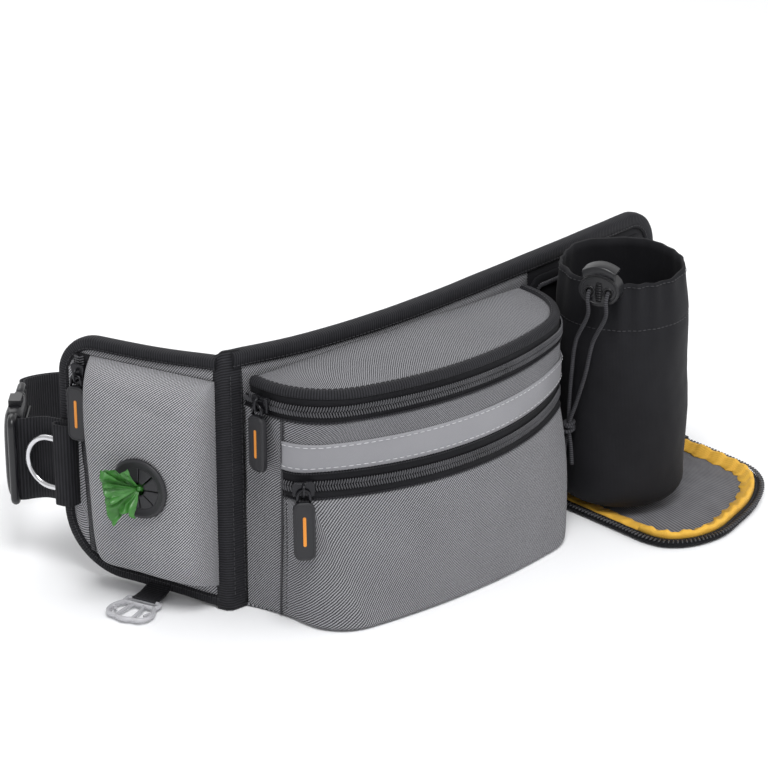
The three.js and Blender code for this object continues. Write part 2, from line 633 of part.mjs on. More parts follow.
function makeSliders() {
  const top = pouchPlan(TOP_ZIP_MID);
  const topOut = v3(Math.cos(TOP_PARK), Math.sin(TOP_PARK), 0);
  const topAt = v3(-top.cornerX, top.cornerY, TOP_ZIP_MID).addScaledVector(topOut, top.corner + CHAIN_PROUD);
  makeSlider('top', topAt, v3(-topOut.y, topOut.x, 0), topOut);

  const zipZ = (POCKET_TOP + FRONT_ZIP_TOP) / 2;
  const front = pouchPlan(zipZ);
  const frontOut = v3(Math.cos(FRONT_PARK), Math.sin(FRONT_PARK), 0);
  const reach = front.arc + CHAIN_PROUD + FRONT_STANDOFF;
  const frontAt = v3(0, front.arcY, zipZ).addScaledVector(frontOut, reach);
  makeSlider('front', frontAt, v3(-frontOut.y, frontOut.x, 0), frontOut, { lean: FRONT_LEAN });

  const bagAt = onWing(zipStation(BAG_PARK), BAG_PARK, BAG_ZIP_TOP + CHAIN_PROUD);
  makeSlider('bag', bagAt, WING_ALONG.clone(), WING_NORMAL.clone(), { upright: true });
}

// ---- bottle sleeve, its drawcord and cord lock ----

const LOCK_ANGLE = THREE.MathUtils.degToRad(207);
const LOCK_OUT = v3(Math.cos(LOCK_ANGLE), Math.sin(LOCK_ANGLE), 0);
const LOCK_ALONG = v3(-LOCK_OUT.y, LOCK_OUT.x, 0);
const LOCK = { z: 151.5, width: 24, height: 19, thick: 10, hole: 2.2, spread: 5.6, stem: 4, travel: 4 };
const KNOT = v3(105.2, -7.5, 64);

function makeSleeve() {
  const { radius, bottom, top, wall: thick, round } = SLEEVE;
  const profile = [[0, bottom], [radius - round, bottom],
    ...arcPoints(radius - round, bottom + round, round, -Math.PI / 2, 0, 4).slice(1),
    [radius, top], [radius - thick, top],
    ...arcPoints(radius - round, bottom + round, round - thick, 0, -Math.PI / 2, 4),
    [0, bottom + thick]];
  place('bottle_sleeve', turned(profile, 32).translate(SLEEVE.x, SLEEVE.y, 0), BLACK_FABRIC);
  const wingS = backStation(SLEEVE.x + 2);
  const reach = backY(SLEEVE.x + 2) - (SLEEVE.y + radius) - 1.6;
  place('sleeve_gusset', panel(onBack, wingS - SLEEVE_GUSSET.half, wingS + SLEEVE_GUSSET.half,
    () => SLEEVE_GUSSET.low, () => SLEEVE_GUSSET.high, 1, reach, GAP), BLACK_FABRIC);
}

function lockPiece(geometry) {
  const at = v3(SLEEVE.x, SLEEVE.y, LOCK.z).addScaledVector(LOCK_OUT, SLEEVE.radius + 0.6);
  return toWorld(geometry, at, LOCK_ALONG, LOCK_OUT);
}

function makeCordLock() {
  const { width, height, thick, hole, spread, stem, travel } = LOCK;
  const shape = new THREE.Shape();
  shape.absellipse(0, 0, width / 2, height / 2, 0, 2 * Math.PI, false, 0);
  const base = new THREE.ExtrudeGeometry(shape, { depth: thick, bevelEnabled: false, curveSegments: 12 });
  const holes = [-spread, spread].map((x) => new THREE.CylinderGeometry(hole, hole, 3 * thick, 12)
    .rotateX(Math.PI / 2).translate(x, -1, 0));
  const bore = box(-stem / 2 - GAP, stem / 2 + GAP, -height / 2 + 2.5, height, 2, thick - 2);
  place('cord_lock_body', lockPiece(carve(base, { cut: [...holes, bore] })), BLACK_PLASTIC);
  const capAt = height / 2 + travel + GAP;
  const button = carve(box(-stem / 2, stem / 2, -2, capAt + 1, 2 + GAP, thick - 2 - GAP),
    { add: [box(-width / 2 + 3, width / 2 - 3, capAt, capAt + 3, 0.5, thick - 0.5)] });
  place('cord_lock_button', lockPiece(button), BLACK_PLASTIC);
  const [turns, steps, wire, coil] = [3.5, 8, 0.35, 1.4];
  const [from, to] = [-height / 2 + 3.2, -2.7];
  const spring = loft(range(0, turns * steps, turns * steps).map((i) => {
    const a = (2 * Math.PI * i) / steps;
    const centre = v3(coil * Math.cos(a), mix(from, to, i / (turns * steps)), thick / 2 + coil * Math.sin(a));
    return range(0, 4, 4).map((k) => {
      const b = (2 * Math.PI * k) / 5;
      const out = coil + wire * Math.cos(b);
      return v3(out * Math.cos(a), centre.y + wire * Math.sin(b), thick / 2 + out * Math.sin(a));
    });
  }));
  place('cord_lock_spring', lockPiece(spring), CHROME);
}

function cordRoute(side) {
  // out of the lock's hole, over its edge, down to the knot, through it and on to a bare end
  const at = v3(SLEEVE.x, SLEEVE.y, LOCK.z).addScaledVector(LOCK_OUT, SLEEVE.radius + 0.6);
  const local = (x, y, z) => at.clone().addScaledVector(LOCK_ALONG, x)
    .addScaledVector(LOCK_OUT, z).add(v3(0, 0, y));
  const start = side * LOCK.spread;
  // the two cords hang side by side, this far from the middle line
  const apart = (x, y, z, half) => v3(x, y, z).addScaledVector(LOCK_ALONG, side * half);
  const knotSide = v3(-0.55, -0.83, 0).multiplyScalar(side * 1.3);
  return [
    local(start, -1, LOCK.thick - 3), local(start, -1, LOCK.thick + 1),
    local(start * 0.96, -5, LOCK.thick + 3.4),
    local(start * 0.94, -14, LOCK.thick + 2.2),
    apart(104.6, -18.6, 118, 5), apart(104.6, -14.8, 98, 4.2), apart(105.1, -10.4, 78, 2.2),
    KNOT.clone().add(knotSide), KNOT.clone().add(knotSide).add(v3(0, 0, -6)),
    KNOT.clone().add(v3(-0.8, -0.6 + side * -2.2, -14)), KNOT.clone().add(v3(-1.6, -1.4 + side * -3.4, -25)),
  ];
}

function makeCords() {
  const section = new THREE.Shape();
  section.absarc(0, 0, CORD_RADIUS, 0, 2 * Math.PI, false);
  for (const [name, side] of [['drawcord_left', -1], ['drawcord_right', 1]]) {
    const path = new THREE.CatmullRomCurve3(cordRoute(side), false, 'centripetal');
    const sweep = { steps: 36, curveSegments: 2, bevelEnabled: false, extrudePath: path };
    place(name, new THREE.ExtrudeGeometry(section, sweep), CORD);
  }
  const knot = [[2.8, -3.6], [3.6, -3.6], [4, -1.4], [3.7, 0], [4, 1.4], [3.6, 3.6], [2.8, 3.6], [2.8, -3.6]];
  place('drawcord_knot', turned(knot, 14).translate(KNOT.x, KNOT.y, KNOT.z - 3), CORD);
}

// ---- stow flap ----

const FLAP_OUTLINE = [
  [115.5, 35], [116.8, -48], [117, -58], [121, -71], [133, -81], [155, -85], [180, -79],
  [204, -70], [224, -56], [234, -42], [237, -30], [238, 49],
];
const FLAP = { low: 0.6, tape: 5, chain: 3.4, panel: 2.8, rim: 9, rimWidth: 3.2 };
// the lining's rim is low at the hinge line, rises towards the flap's front, and is low under the sleeve
const FLAP_RIM = { atHinge: 3.6, hingeY: 42, slope: 0.14, underSleeve: 4.4, sleeveX: 130, sleeveY: -50 };
const STOW_PARK = { x: 236.6, y: 24 };   // where the stow flap's slider is parked

function makeFlap() {
  const { low, tape, rimWidth } = FLAP;
  const { atHinge, hingeY, slope, underSleeve, sleeveX, sleeveY } = FLAP_RIM;
  const risen = (y) => Math.min(FLAP.rim, atHinge + Math.max(0, hingeY - y) * slope);
  const heightAt = (x, y) => (x < sleeveX && y > sleeveY ? underSleeve : risen(y));
  const ring = (outer, inner, high) => loft(outer.map(([x, y], i) => [
    v3(x, y, low), v3(x, y, low + high(x, y)), v3(...inner[i], low + high(...inner[i])), v3(...inner[i], low),
  ]));
  const path = (distance) => inset(FLAP_OUTLINE, distance);
  place('flap_zip', ring(path(0), path(tape), () => FLAP.chain), BLACK_TAPE);
  place('flap_lining_rim', ring(path(tape + GAP), path(tape + rimWidth), heightAt), YELLOW_LINING);
  const plate = path(tape + rimWidth + GAP).map(([x, y]) => new THREE.Vector2(x, y));
  const sheet = new THREE.ExtrudeGeometry(new THREE.Shape(plate), { depth: FLAP.panel, bevelEnabled: false });
  place('flap_panel', sheet.translate(0, 0, low), GREY_FABRIC);

  const bail = [box(-0.8, 0.8, -3.6, 3.6, 5, 6.2), box(-0.8, 0.8, -3.6, -2.2, 1.8, 5.6),
    box(-0.8, 0.8, 2.2, 3.6, 1.8, 5.6)];
  const slider = carve(box(-3.4, 3.4, -6, 6, 0.4, 2.2), { add: bail });
  place('stow_slider', slider.translate(STOW_PARK.x, STOW_PARK.y, low + FLAP.chain), DARK_METAL);
}

function makeWingZip() {
  const [from, to, low, high] = [backStation(DIVIDER_X + 1), BACK_LENGTH - BINDING_WIDTH - 1.5, 28, 136];
  const round = 10;
  const width = 6;
  const path = [
    [to, low], [to, high - round],
    ...arcPoints(to - round, high - round, round, 0, Math.PI / 2, 3).slice(1),
    ...range(to - round, from + round, 4).slice(1, -1).map((s) => [s, high]),
    ...arcPoints(from + round, high - round, round, Math.PI / 2, Math.PI, 3), [from, low],
  ];
  place('wing_zip', edging(onBack, path, width, 2.1, GAP), BLACK_TAPE);
}

// ---- belt: left tab, D-ring, buckle and strap ----

const BUCKLE = {
  at: v3(-169.1, 161.2, 66), along: v3(0.67, 0.742, 0).normalize(), height: 55, thick: 13, lug: 3,
};
const SEWN_END_Z = 66;           // middle of the strap where it is sewn behind the right wing

const RING = { s: 105, z: BELT_Z - 0.5, depth: 7.2, wire: 1.8, reach: 21, half: 14.9 };
const LOOP = { from: 97.6, cloth: 1.2, half: 11.5 };   // tape loop that holds the ring's bar

function ribbon(points, offset, [from, to], steps) {
  // webbing that stands on edge along a share of a route; offset moves it to the left of the route
  const [width, thick] = [WEBBING, WEBBING_THICK];
  const curve = new THREE.CatmullRomCurve3(points, false, 'centripetal');
  return loft(range(from, to, steps).map((u) => {
    const p = curve.getPointAt(u);
    const t = curve.getTangentAt(u);
    const side = v3(-t.y, t.x, 0).normalize();
    const at = (along, z) => p.clone().addScaledVector(side, along).add(v3(0, 0, z));
    const [near, far] = [offset, offset + thick];
    return [at(near, -width / 2), at(near, width / 2), at(far, width / 2), at(far, -width / 2)];
  }));
}

const onBuckle = (a, t, z) => BUCKLE.at.clone().addScaledVector(BUCKLE.along, a)
  .addScaledVector(v3(BUCKLE.along.y, -BUCKLE.along.x, 0), t).add(v3(0, 0, z));

function makeTabAndRing() {
  const route = [onWing(96, BELT_Z, 3.4), onWing(108, BELT_Z, 3.4), onWing(118, BELT_Z - 1, 2.6),
    onBuckle(0.2, 11, 1), onBuckle(0.2, 5, 0), onBuckle(0.2, 0, 0)];
  place('belt_tab', ribbon(route, -WEBBING_THICK, [0, 1], 14), BLACK_TAPE);

  const [bar, wire, reach, half] = [onWing(RING.s, RING.z, RING.depth), RING.wire, RING.reach, RING.half];
  const outline = [[0, -half], ...arcPoints(reach - half, 0, half, -Math.PI / 2, Math.PI / 2, 10), [0, half]];
  const rings = outline.map((p, i) => {
    const before = outline[(i + outline.length - 1) % outline.length];
    const after = outline[(i + 1) % outline.length];
    const a = new THREE.Vector2(p[0] - before[0], p[1] - before[1]).normalize();
    const b = new THREE.Vector2(after[0] - p[0], after[1] - p[1]).normalize();
    const normal = new THREE.Vector2(a.y + b.y, -a.x - b.x);
    normal.multiplyScalar(2 / normal.lengthSq());
    return range(0, 7, 7).map((k) => {
      const turn = (2 * Math.PI * k) / 8;
      const [x, z] = [p[0] + normal.x * wire * Math.cos(turn), p[1] + normal.y * wire * Math.cos(turn)];
      return bar.clone().addScaledVector(WING_ALONG, x)
        .addScaledVector(WING_NORMAL, wire * Math.sin(turn)).add(v3(0, 0, z));
    });
  });
  place('d_ring', loft(rings, true), CHROME);

  const inner = wire + 0.5;
  const outer = inner + LOOP.cloth;
  const quarter = Math.PI / 2;
  const wrap = [
    ...arcPoints(RING.s, RING.depth, outer, -quarter, quarter, 6),
    [LOOP.from, RING.depth + outer], [LOOP.from, RING.depth + inner],
    ...arcPoints(RING.s, RING.depth, inner, quarter, -quarter, 6),
    [LOOP.from, RING.depth - inner], [LOOP.from, RING.depth - outer],
  ];
  const shape = new THREE.Shape(wrap.map(([s, d]) => new THREE.Vector2(s, d)));
  const loop = new THREE.ExtrudeGeometry(shape, { depth: 2 * LOOP.half, bevelEnabled: false });
  place('d_ring_loop', standOnWing(loop.translate(0, 0, RING.z - LOOP.half)), BLACK_TAPE);
}

function bucklePiece(geometry) {
  // local x runs along the buckle, local y across its thickness and local z up
  const across = v3(BUCKLE.along.y, -BUCKLE.along.x, 0);
  const frame = new THREE.Matrix4().makeBasis(BUCKLE.along, across.clone().negate(), v3(0, 0, 1));
  return orient(geometry.applyMatrix4(frame).translate(BUCKLE.at.x, BUCKLE.at.y, BUCKLE.at.z));
}

function makeBuckle() {
  const [h, t] = [BUCKLE.height / 2, BUCKLE.thick / 2];
  const slot = WEBBING / 2 + 0.8;
  place('buckle_female', bucklePiece(carve(box(-5, 33, -t, t, -h, h), {
    cut: [box(-1, 3, -2 * t, 2 * t, -slot, slot),
      box(8, 40, -t + 2, t - 2, -h + 3, h - 3), box(12, 26, -t + 2, t - 2, -2 * h, 2 * h)],
  })), BLACK_PLASTIC);
  const base = box(33.5, 52, -t + 1.5, t - 1.5, -h + 1, h - 1);
  place('buckle_male', bucklePiece(carve(base, {
    add: [box(10, 34, -2.5, 2.5, -5, 5)],
    cut: [box(37, 41, -2 * t, 2 * t, -slot, slot), box(45, 49, -2 * t, 2 * t, -slot, slot)],
  })), BLACK_PLASTIC);
  for (const [name, side] of [['buckle_arm_upper', 1], ['buckle_arm_lower', -1]]) {
    const span = (low, high) => (side > 0 ? [low, high] : [-high, -low]);
    place(name, bucklePiece(carve(box(11, 33.2, -3, 3, ...span(h - 9.5, h - 5.5)),
      { add: [box(13.8, 25, -3.6, 3.6, ...span(h - 6, h + BUCKLE.lug))] })), BLACK_PLASTIC);
  }
}

function makeStrap() {
  const sewn = onBack(BACK_LENGTH - 18, SEWN_END_Z, -PANEL_THICK - BINDING_PROUD - 2.6);
  const route = [
    onBuckle(52.8, 0, 0), onBuckle(60, -1, -1), v3(-105, 213, 60), v3(-30, 205, 44), v3(60, 189, 36),
    v3(150, 168, 36), v3(225, 136, 42), v3(260, 108, 54), v3(265, 84, 61), v3(254, 70.5, 65), sewn,
  ];
  place('waist_strap', ribbon(route, 0.2, [0, 1], 40), BLACK_TAPE);
  place('strap_free_end', ribbon(route, -0.2 - WEBBING_THICK, [0, FREE_END_SHARE], 14), BLACK_TAPE);
}

// ---- light clip on a short tab under the left wing ----

const CLIP = { s: 45, tab: 15, root: 16, tip: 40, arm: 8.3, hook: 11.75, low: 1.4, high: 3.8 };

function makeClip() {
  const { s, low, high } = CLIP;
  const tab = box(s - CLIP.tab / 2, s + CLIP.tab / 2, 1.8, CLIP.root - 0.5, 1, 2.6);
  place('clip_tab', standOnWing(tab), BLACK_TAPE);
  const bar = (across, half, from, to) => box(s + across - half, s + across + half, from, to, low, high);
  const arms = [-1, 1].flatMap((side) => [
    bar(side * CLIP.arm, 1.7, 21, CLIP.tip - 2), bar(side * CLIP.hook, 2.75, 31, 36),
  ]);
  const clip = carve(box(s - 11, s + 11, CLIP.root, 22, 0.8, 4.4), {
    add: [bar(0, 1.6, 21, CLIP.tip), bar(0, 10, CLIP.tip - 3, CLIP.tip), ...arms],
    cut: [box(s - 8, s + 8, 17.6, 19.6, -1, 9)],
  });
  place('mini_clip', standOnWing(clip), LIGHT_PLASTIC);
}

makeBack();
makeLeftWing();
makePouch();
makeLid();
makeBagPocket();
makeDispenser();
makeRoll();
makeSliders();
makeSleeve();
makeCordLock();
makeCords();
makeFlap();
makeWingZip();
makeTabAndRing();
makeBuckle();
makeStrap();
makeClip();

export default bag;
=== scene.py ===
# The treat pouch's looks: cloth, tapes, zips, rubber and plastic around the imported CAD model.
# Sizes below are in millimetres and are turned into metres by the helpers. +Z is up and -Y is the
# front, as in the model, and every frame that bends a flat layout onto the bag matches the model's.

import math

import bmesh
import bpy
import numpy as np
from mathutils import Matrix, Vector, noise


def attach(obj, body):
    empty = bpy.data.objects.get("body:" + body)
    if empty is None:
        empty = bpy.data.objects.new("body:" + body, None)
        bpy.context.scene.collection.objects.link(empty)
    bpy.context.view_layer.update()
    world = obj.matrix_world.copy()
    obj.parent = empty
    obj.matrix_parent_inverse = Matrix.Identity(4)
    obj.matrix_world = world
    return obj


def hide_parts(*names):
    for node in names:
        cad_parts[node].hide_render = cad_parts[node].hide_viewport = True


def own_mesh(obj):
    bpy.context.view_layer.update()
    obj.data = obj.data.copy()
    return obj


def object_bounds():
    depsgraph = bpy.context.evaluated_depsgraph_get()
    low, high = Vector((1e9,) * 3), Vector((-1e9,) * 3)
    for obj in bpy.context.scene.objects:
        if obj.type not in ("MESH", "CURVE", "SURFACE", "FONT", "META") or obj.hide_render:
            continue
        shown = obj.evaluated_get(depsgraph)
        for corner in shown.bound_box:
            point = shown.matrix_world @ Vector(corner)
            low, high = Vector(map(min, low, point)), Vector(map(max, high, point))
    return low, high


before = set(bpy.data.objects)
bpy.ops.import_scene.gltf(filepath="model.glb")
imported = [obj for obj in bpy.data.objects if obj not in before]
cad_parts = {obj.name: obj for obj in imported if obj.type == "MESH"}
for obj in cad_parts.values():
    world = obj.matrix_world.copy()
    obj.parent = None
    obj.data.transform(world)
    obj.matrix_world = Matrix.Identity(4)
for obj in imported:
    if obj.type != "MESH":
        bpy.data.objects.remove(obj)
CAD_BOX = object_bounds()
MM = 0.001
UP = np.array([0, 0, 1.0])

# ---- the model's driving sizes, in millimetres ----

PANEL_THICK = 6
PANEL_HEIGHT = 150
WING_HEIGHT = 147
WING_LENGTH = 108
BINDING = 9
WING_BINDING = 7
PROUD = 1.2
FOOT = 3
BACK_POINTS = [(-115, 37), (0, 31), (117, 41), (240, 55)]
DIVIDER_X = 117
WING_ANGLE = math.radians(70)
STRIP_WIDTH = 11
PLANS = [(0, 96, 30, -38, 450), (85, 102, 12, -37, 165), (138, 104, 50, -36, 220)]
SIDE_BACK = 33.8
POCKET_TOP, FRONT_ZIP_TOP, REFLECTIVE_TOP, BAND_TOP = 77, 93, 110, 122
TOP_ZIP_MID, LID_BOTTOM, LID_HINGE_Y = 129, 136, 25
BELT_Z = 70
WEBBING = 50
SLEEVE_AT = (150, -5)
LOCK_Z = 151.5
LOCK_ANGLE = math.radians(207)
LOCK_OUT = np.array(Vector((math.cos(LOCK_ANGLE), math.sin(LOCK_ANGLE), 0)))
LOCK_ALONG = np.array([-LOCK_OUT[1], LOCK_OUT[0], 0])
LOCK_REACH = 39.6
KNOT = np.array(Vector((105.2, -7.5, 64)))
CORD_RADIUS = 1.15
FLAP_OUTLINE = [
    (115.5, 35), (116.8, -48), (117, -58), (121, -71), (133, -81), (155, -85), (180, -79),
    (204, -70), (224, -56), (234, -42), (237, -30), (238, 49),
]

# ---- frames that bend a flat layout (s along, z up, d towards the front) onto the bag ----


def spread(low, high, steps):
    return np.linspace(low, high, steps + 1)


def turns(steps):
    """The angles of a full turn, without the last that would repeat the first."""
    return spread(0, 2 * math.pi, steps)[:-1]


def smooth_curve(points, steps=80):
    """A centripetal Catmull-Rom curve through the points, as an even row of points."""
    p = np.array(points, float)
    p = np.vstack([2 * p[0] - p[1], p, 2 * p[-1] - p[-2]])
    out = []
    for a, b, c, d in zip(p, p[1:], p[2:], p[3:]):
        gaps = [max(np.linalg.norm(q - r), 1e-6) ** 0.5 for q, r in ((b, a), (c, b), (d, c))]
        g0, g1, g2 = gaps
        start = ((b - a) / g0 - (c - a) / (g0 + g1) + (c - b) / g1) * g1
        end = ((c - b) / g1 - (d - b) / (g1 + g2) + (d - c) / g2) * g1
        t = np.linspace(0, 1, steps, endpoint=False)[:, None]
        out.append(
            (2 * t**3 - 3 * t**2 + 1) * b + (t**3 - 2 * t**2 + t) * start
            + (-2 * t**3 + 3 * t**2) * c + (t**3 - t**2) * end
        )
    out.append(p[-2][None, :])
    return np.vstack(out)


class Line:
    """A row of points that can be read by the distance along it."""

    def __init__(self, points):
        self.points = np.array(points, float)
        steps = np.linalg.norm(np.diff(self.points, axis=0), axis=1)
        self.at = np.concatenate([[0], np.cumsum(steps)])
        self.length = self.at[-1]

    def point(self, s):
        columns = self.points.T
        return np.array([np.interp(s, self.at, column) for column in columns])

    def tangent(self, s):
        ahead = self.point(min(s + 0.5, self.length))
        behind = self.point(max(s - 0.5, 0))
        way = ahead - behind
        return way / np.linalg.norm(way)


BACK = Line(smooth_curve(BACK_POINTS))
ALONG = np.array([-math.cos(WING_ANGLE), math.sin(WING_ANGLE), 0])
NORMAL = np.array([-math.sin(WING_ANGLE), -math.cos(WING_ANGLE), 0])
FOLD = np.array([BACK_POINTS[0][0], BACK_POINTS[0][1], 0.0])


def on_back(s, z, d):
    x, y = BACK.point(s)
    tx, ty = BACK.tangent(s)
    return np.array([x + ty * d, y - tx * d, z])


def on_wing(s, z, d):
    return FOLD + ALONG * s + NORMAL * d + UP * z


def back_station(x):
    return float(np.interp(x, BACK.points[:, 0], BACK.at))


def back_y(x):
    return float(np.interp(x, BACK.points[:, 0], BACK.points[:, 1]))


def pouch_plan(z):
    low, high = (PLANS[0], PLANS[1]) if z <= PLANS[1][0] else (PLANS[1], PLANS[2])
    t = (z - low[0]) / (high[0] - low[0])
    half, corner, front = (low[i] + (high[i] - low[i]) * t for i in (1, 2, 3))
    arc = 1 / ((1 - t) / low[4] + t / high[4])
    arc_y = front + arc
    corner_x = half - corner
    corner_y = arc_y - math.sqrt((arc - corner) ** 2 - corner_x**2)
    return half, corner, arc, arc_y, corner_x, corner_y


SIDE_STEPS, CORNER_STEPS, FRONT_STEPS = 6, 15, 24
LAST = 2 * (SIDE_STEPS + CORNER_STEPS + FRONT_STEPS)
SEAM_PLANE = (0.7681, -0.6403, -81.8)    # the upright plane that the front's left seam lies in
LID_START = 2                            # plan points behind the lid's hinge line
STRIP_X = -104.3                         # where the fold's tape ends


def pouch_path(z, depth, back_from=SIDE_BACK):
    """The pouch's plan at a height, from the back on the left round to the back on the right."""
    half, corner, arc, arc_y, corner_x, corner_y = pouch_plan(z)
    turn = 1.5 * math.pi - math.atan2(corner_x, arc_y - corner_y)
    side = [(-half + depth, y) for y in spread(back_from, corner_y, SIDE_STEPS)[:-1]]
    for a in spread(math.pi, turn, CORNER_STEPS):
        side.append(((corner - depth) * math.cos(a) - corner_x, corner_y + (corner - depth) * math.sin(a)))
    for a in spread(turn, 1.5 * math.pi, FRONT_STEPS)[1:]:
        side.append(((arc - depth) * math.cos(a), arc_y + (arc - depth) * math.sin(a)))
    return side + [(-x, y) for x, y in side[-2::-1]]


# ---- meshes ----


def ripple(p, size, amount):
    """Smooth, repeatable unevenness of cloth at a point in millimetres."""
    return amount * noise.noise(Vector(p) / size)


def add_object(material, points, faces, uvs=None):
    """A smooth mesh in one material, from points in millimetres. piece() names it."""
    mesh = bpy.data.meshes.new("part")
    mesh.from_pydata([tuple(p * MM) for p in np.array(points, float)], [], faces)
    if uvs is not None:
        layer = mesh.uv_layers.new(name="cloth")
        flat = [uvs[v] for polygon in mesh.polygons for v in polygon.vertices]
        layer.data.foreach_set("uv", np.array(flat, float).ravel())
    mesh.polygons.foreach_set("use_smooth", [True] * len(mesh.polygons))
    mesh.materials.append(material)
    mesh.update()
    obj = bpy.data.objects.new("part", mesh)
    bpy.context.scene.collection.objects.link(obj)
    return obj


def grid_uv(grid):
    """Distance along and across a grid, in millimetres, so a weave keeps its size."""
    across = np.linalg.norm(np.diff(grid, axis=1), axis=2).mean(axis=0)
    along = np.linalg.norm(np.diff(grid, axis=0), axis=2).mean(axis=1)
    u = np.concatenate([[0], np.cumsum(across)])
    v = np.concatenate([[0], np.cumsum(along)])
    return [(a, b) for b in v for a in u]


def outward(obj):
    """Turns a closed mesh's faces outwards."""
    work = bmesh.new()
    work.from_mesh(obj.data)
    bmesh.ops.recalc_face_normals(work, faces=work.faces)
    work.to_mesh(obj.data)
    work.free()
    return obj


def sweep(material, rings, closed=False):
    """Skins a row of equal closed rings of points, with flat ends unless the row is closed."""
    rings = np.array(rings, float)
    count, size = rings.shape[:2]
    faces = []
    for i in range(count if closed else count - 1):
        n = (i + 1) % count
        for j in range(size):
            k = (j + 1) % size
            faces.append((i * size + j, i * size + k, n * size + k, n * size + j))
    if not closed:
        faces += [tuple(range(size)), tuple((count - 1) * size + j for j in range(size))]
    along = Line(rings.mean(axis=1)).at
    around = np.linalg.norm(np.roll(rings[0], -1, axis=0) - rings[0], axis=1)
    girth = np.concatenate([[0], np.cumsum(around)[:-1]])
    uv = [(a, g) for a in along for g in girth]
    return outward(add_object(material, rings.reshape(-1, 3), faces, uv))


def tube(material, points, radius, sides=12, closed=False):
    points = np.array(points, float)
    count = len(points)
    rings = []
    side = None
    for i, p in enumerate(points):
        ahead = points[(i + 1) % count] if closed else points[min(i + 1, count - 1)]
        behind = points[i - 1] if closed else points[max(i - 1, 0)]
        way = (ahead - behind) / max(np.linalg.norm(ahead - behind), 1e-9)
        if side is None:
            side = np.cross(way, [0.31, 0.17, 0.93])
        side = side - way * (side @ way)
        side = side / np.linalg.norm(side)
        other = np.cross(way, side)
        ring = [p + radius * (math.cos(a) * side + math.sin(a) * other)
                for a in turns(sides)]
        rings.append(ring)
    return sweep(material, rings, closed)


def blocks(material, frames, size):
    """Many small rounded bars: stitches or zip teeth. A frame is (centre, along, across, up)."""
    long, wide, high = (value / 2 for value in size)
    corners, faces = [], []
    section = [(-1, 0), (-0.75, 1), (0.75, 1), (1, 0), (0.75, -0.4), (-0.75, -0.4)]
    for centre, along, across, up in frames:
        start = len(corners)
        for end, narrow in ((-1, 0.55), (-0.6, 1), (0.6, 1), (1, 0.55)):
            for x, y in section:
                corners.append(centre + along * end * long + across * x * wide * narrow
                               + up * y * high * narrow)
        for i in range(3):
            for j in range(6):
                k = (j + 1) % 6
                a, b = start + i * 6, start + i * 6 + 6
                faces.append((a + j, a + k, b + k, b + j))
        faces += [tuple(start + j for j in range(6)), tuple(start + 18 + j for j in range(6))]
    return outward(add_object(material, corners, faces))


def frames_along(line, step, up_at):
    out = []
    for s in np.arange(step / 2, line.length, step):
        way = line.tangent(s)
        up = np.array(up_at(line.point(s)), float)
        up = up - way * (up @ way)
        up = up / np.linalg.norm(up)
        out.append((line.point(s), way, np.cross(up, way), up))
    return out


def stitch_row(material, points, up_at, pitch=3.0, size=(2.1, 0.55, 0.5)):
    return blocks(material, frames_along(Line(points), pitch, up_at), size)


def teeth(material, points, up_at, side, pitch=1.5, lean=0.35):
    """One row of a coil zip: slanting bars on one side of its middle line."""
    frames = []
    for centre, way, across, up in frames_along(Line(points), pitch, up_at):
        bar = across * math.cos(lean) + way * math.sin(lean) * side
        cross = way * math.cos(lean) - across * math.sin(lean) * side
        frames.append((centre + across * side * 1.45 + up * 0.7, bar, cross, up))
    return blocks(material, frames, (3.3, 0.95, 1.5))


def lathe(material, profile, place, steps=48):
    """Turns a closed (radius, height) outline, then places it by a function of local x, y, z."""
    rings = [[place(r * math.cos(a), r * math.sin(a), h) for r, h in profile] for a in turns(steps)]
    return sweep(material, rings, closed=True)


# ---- materials ----


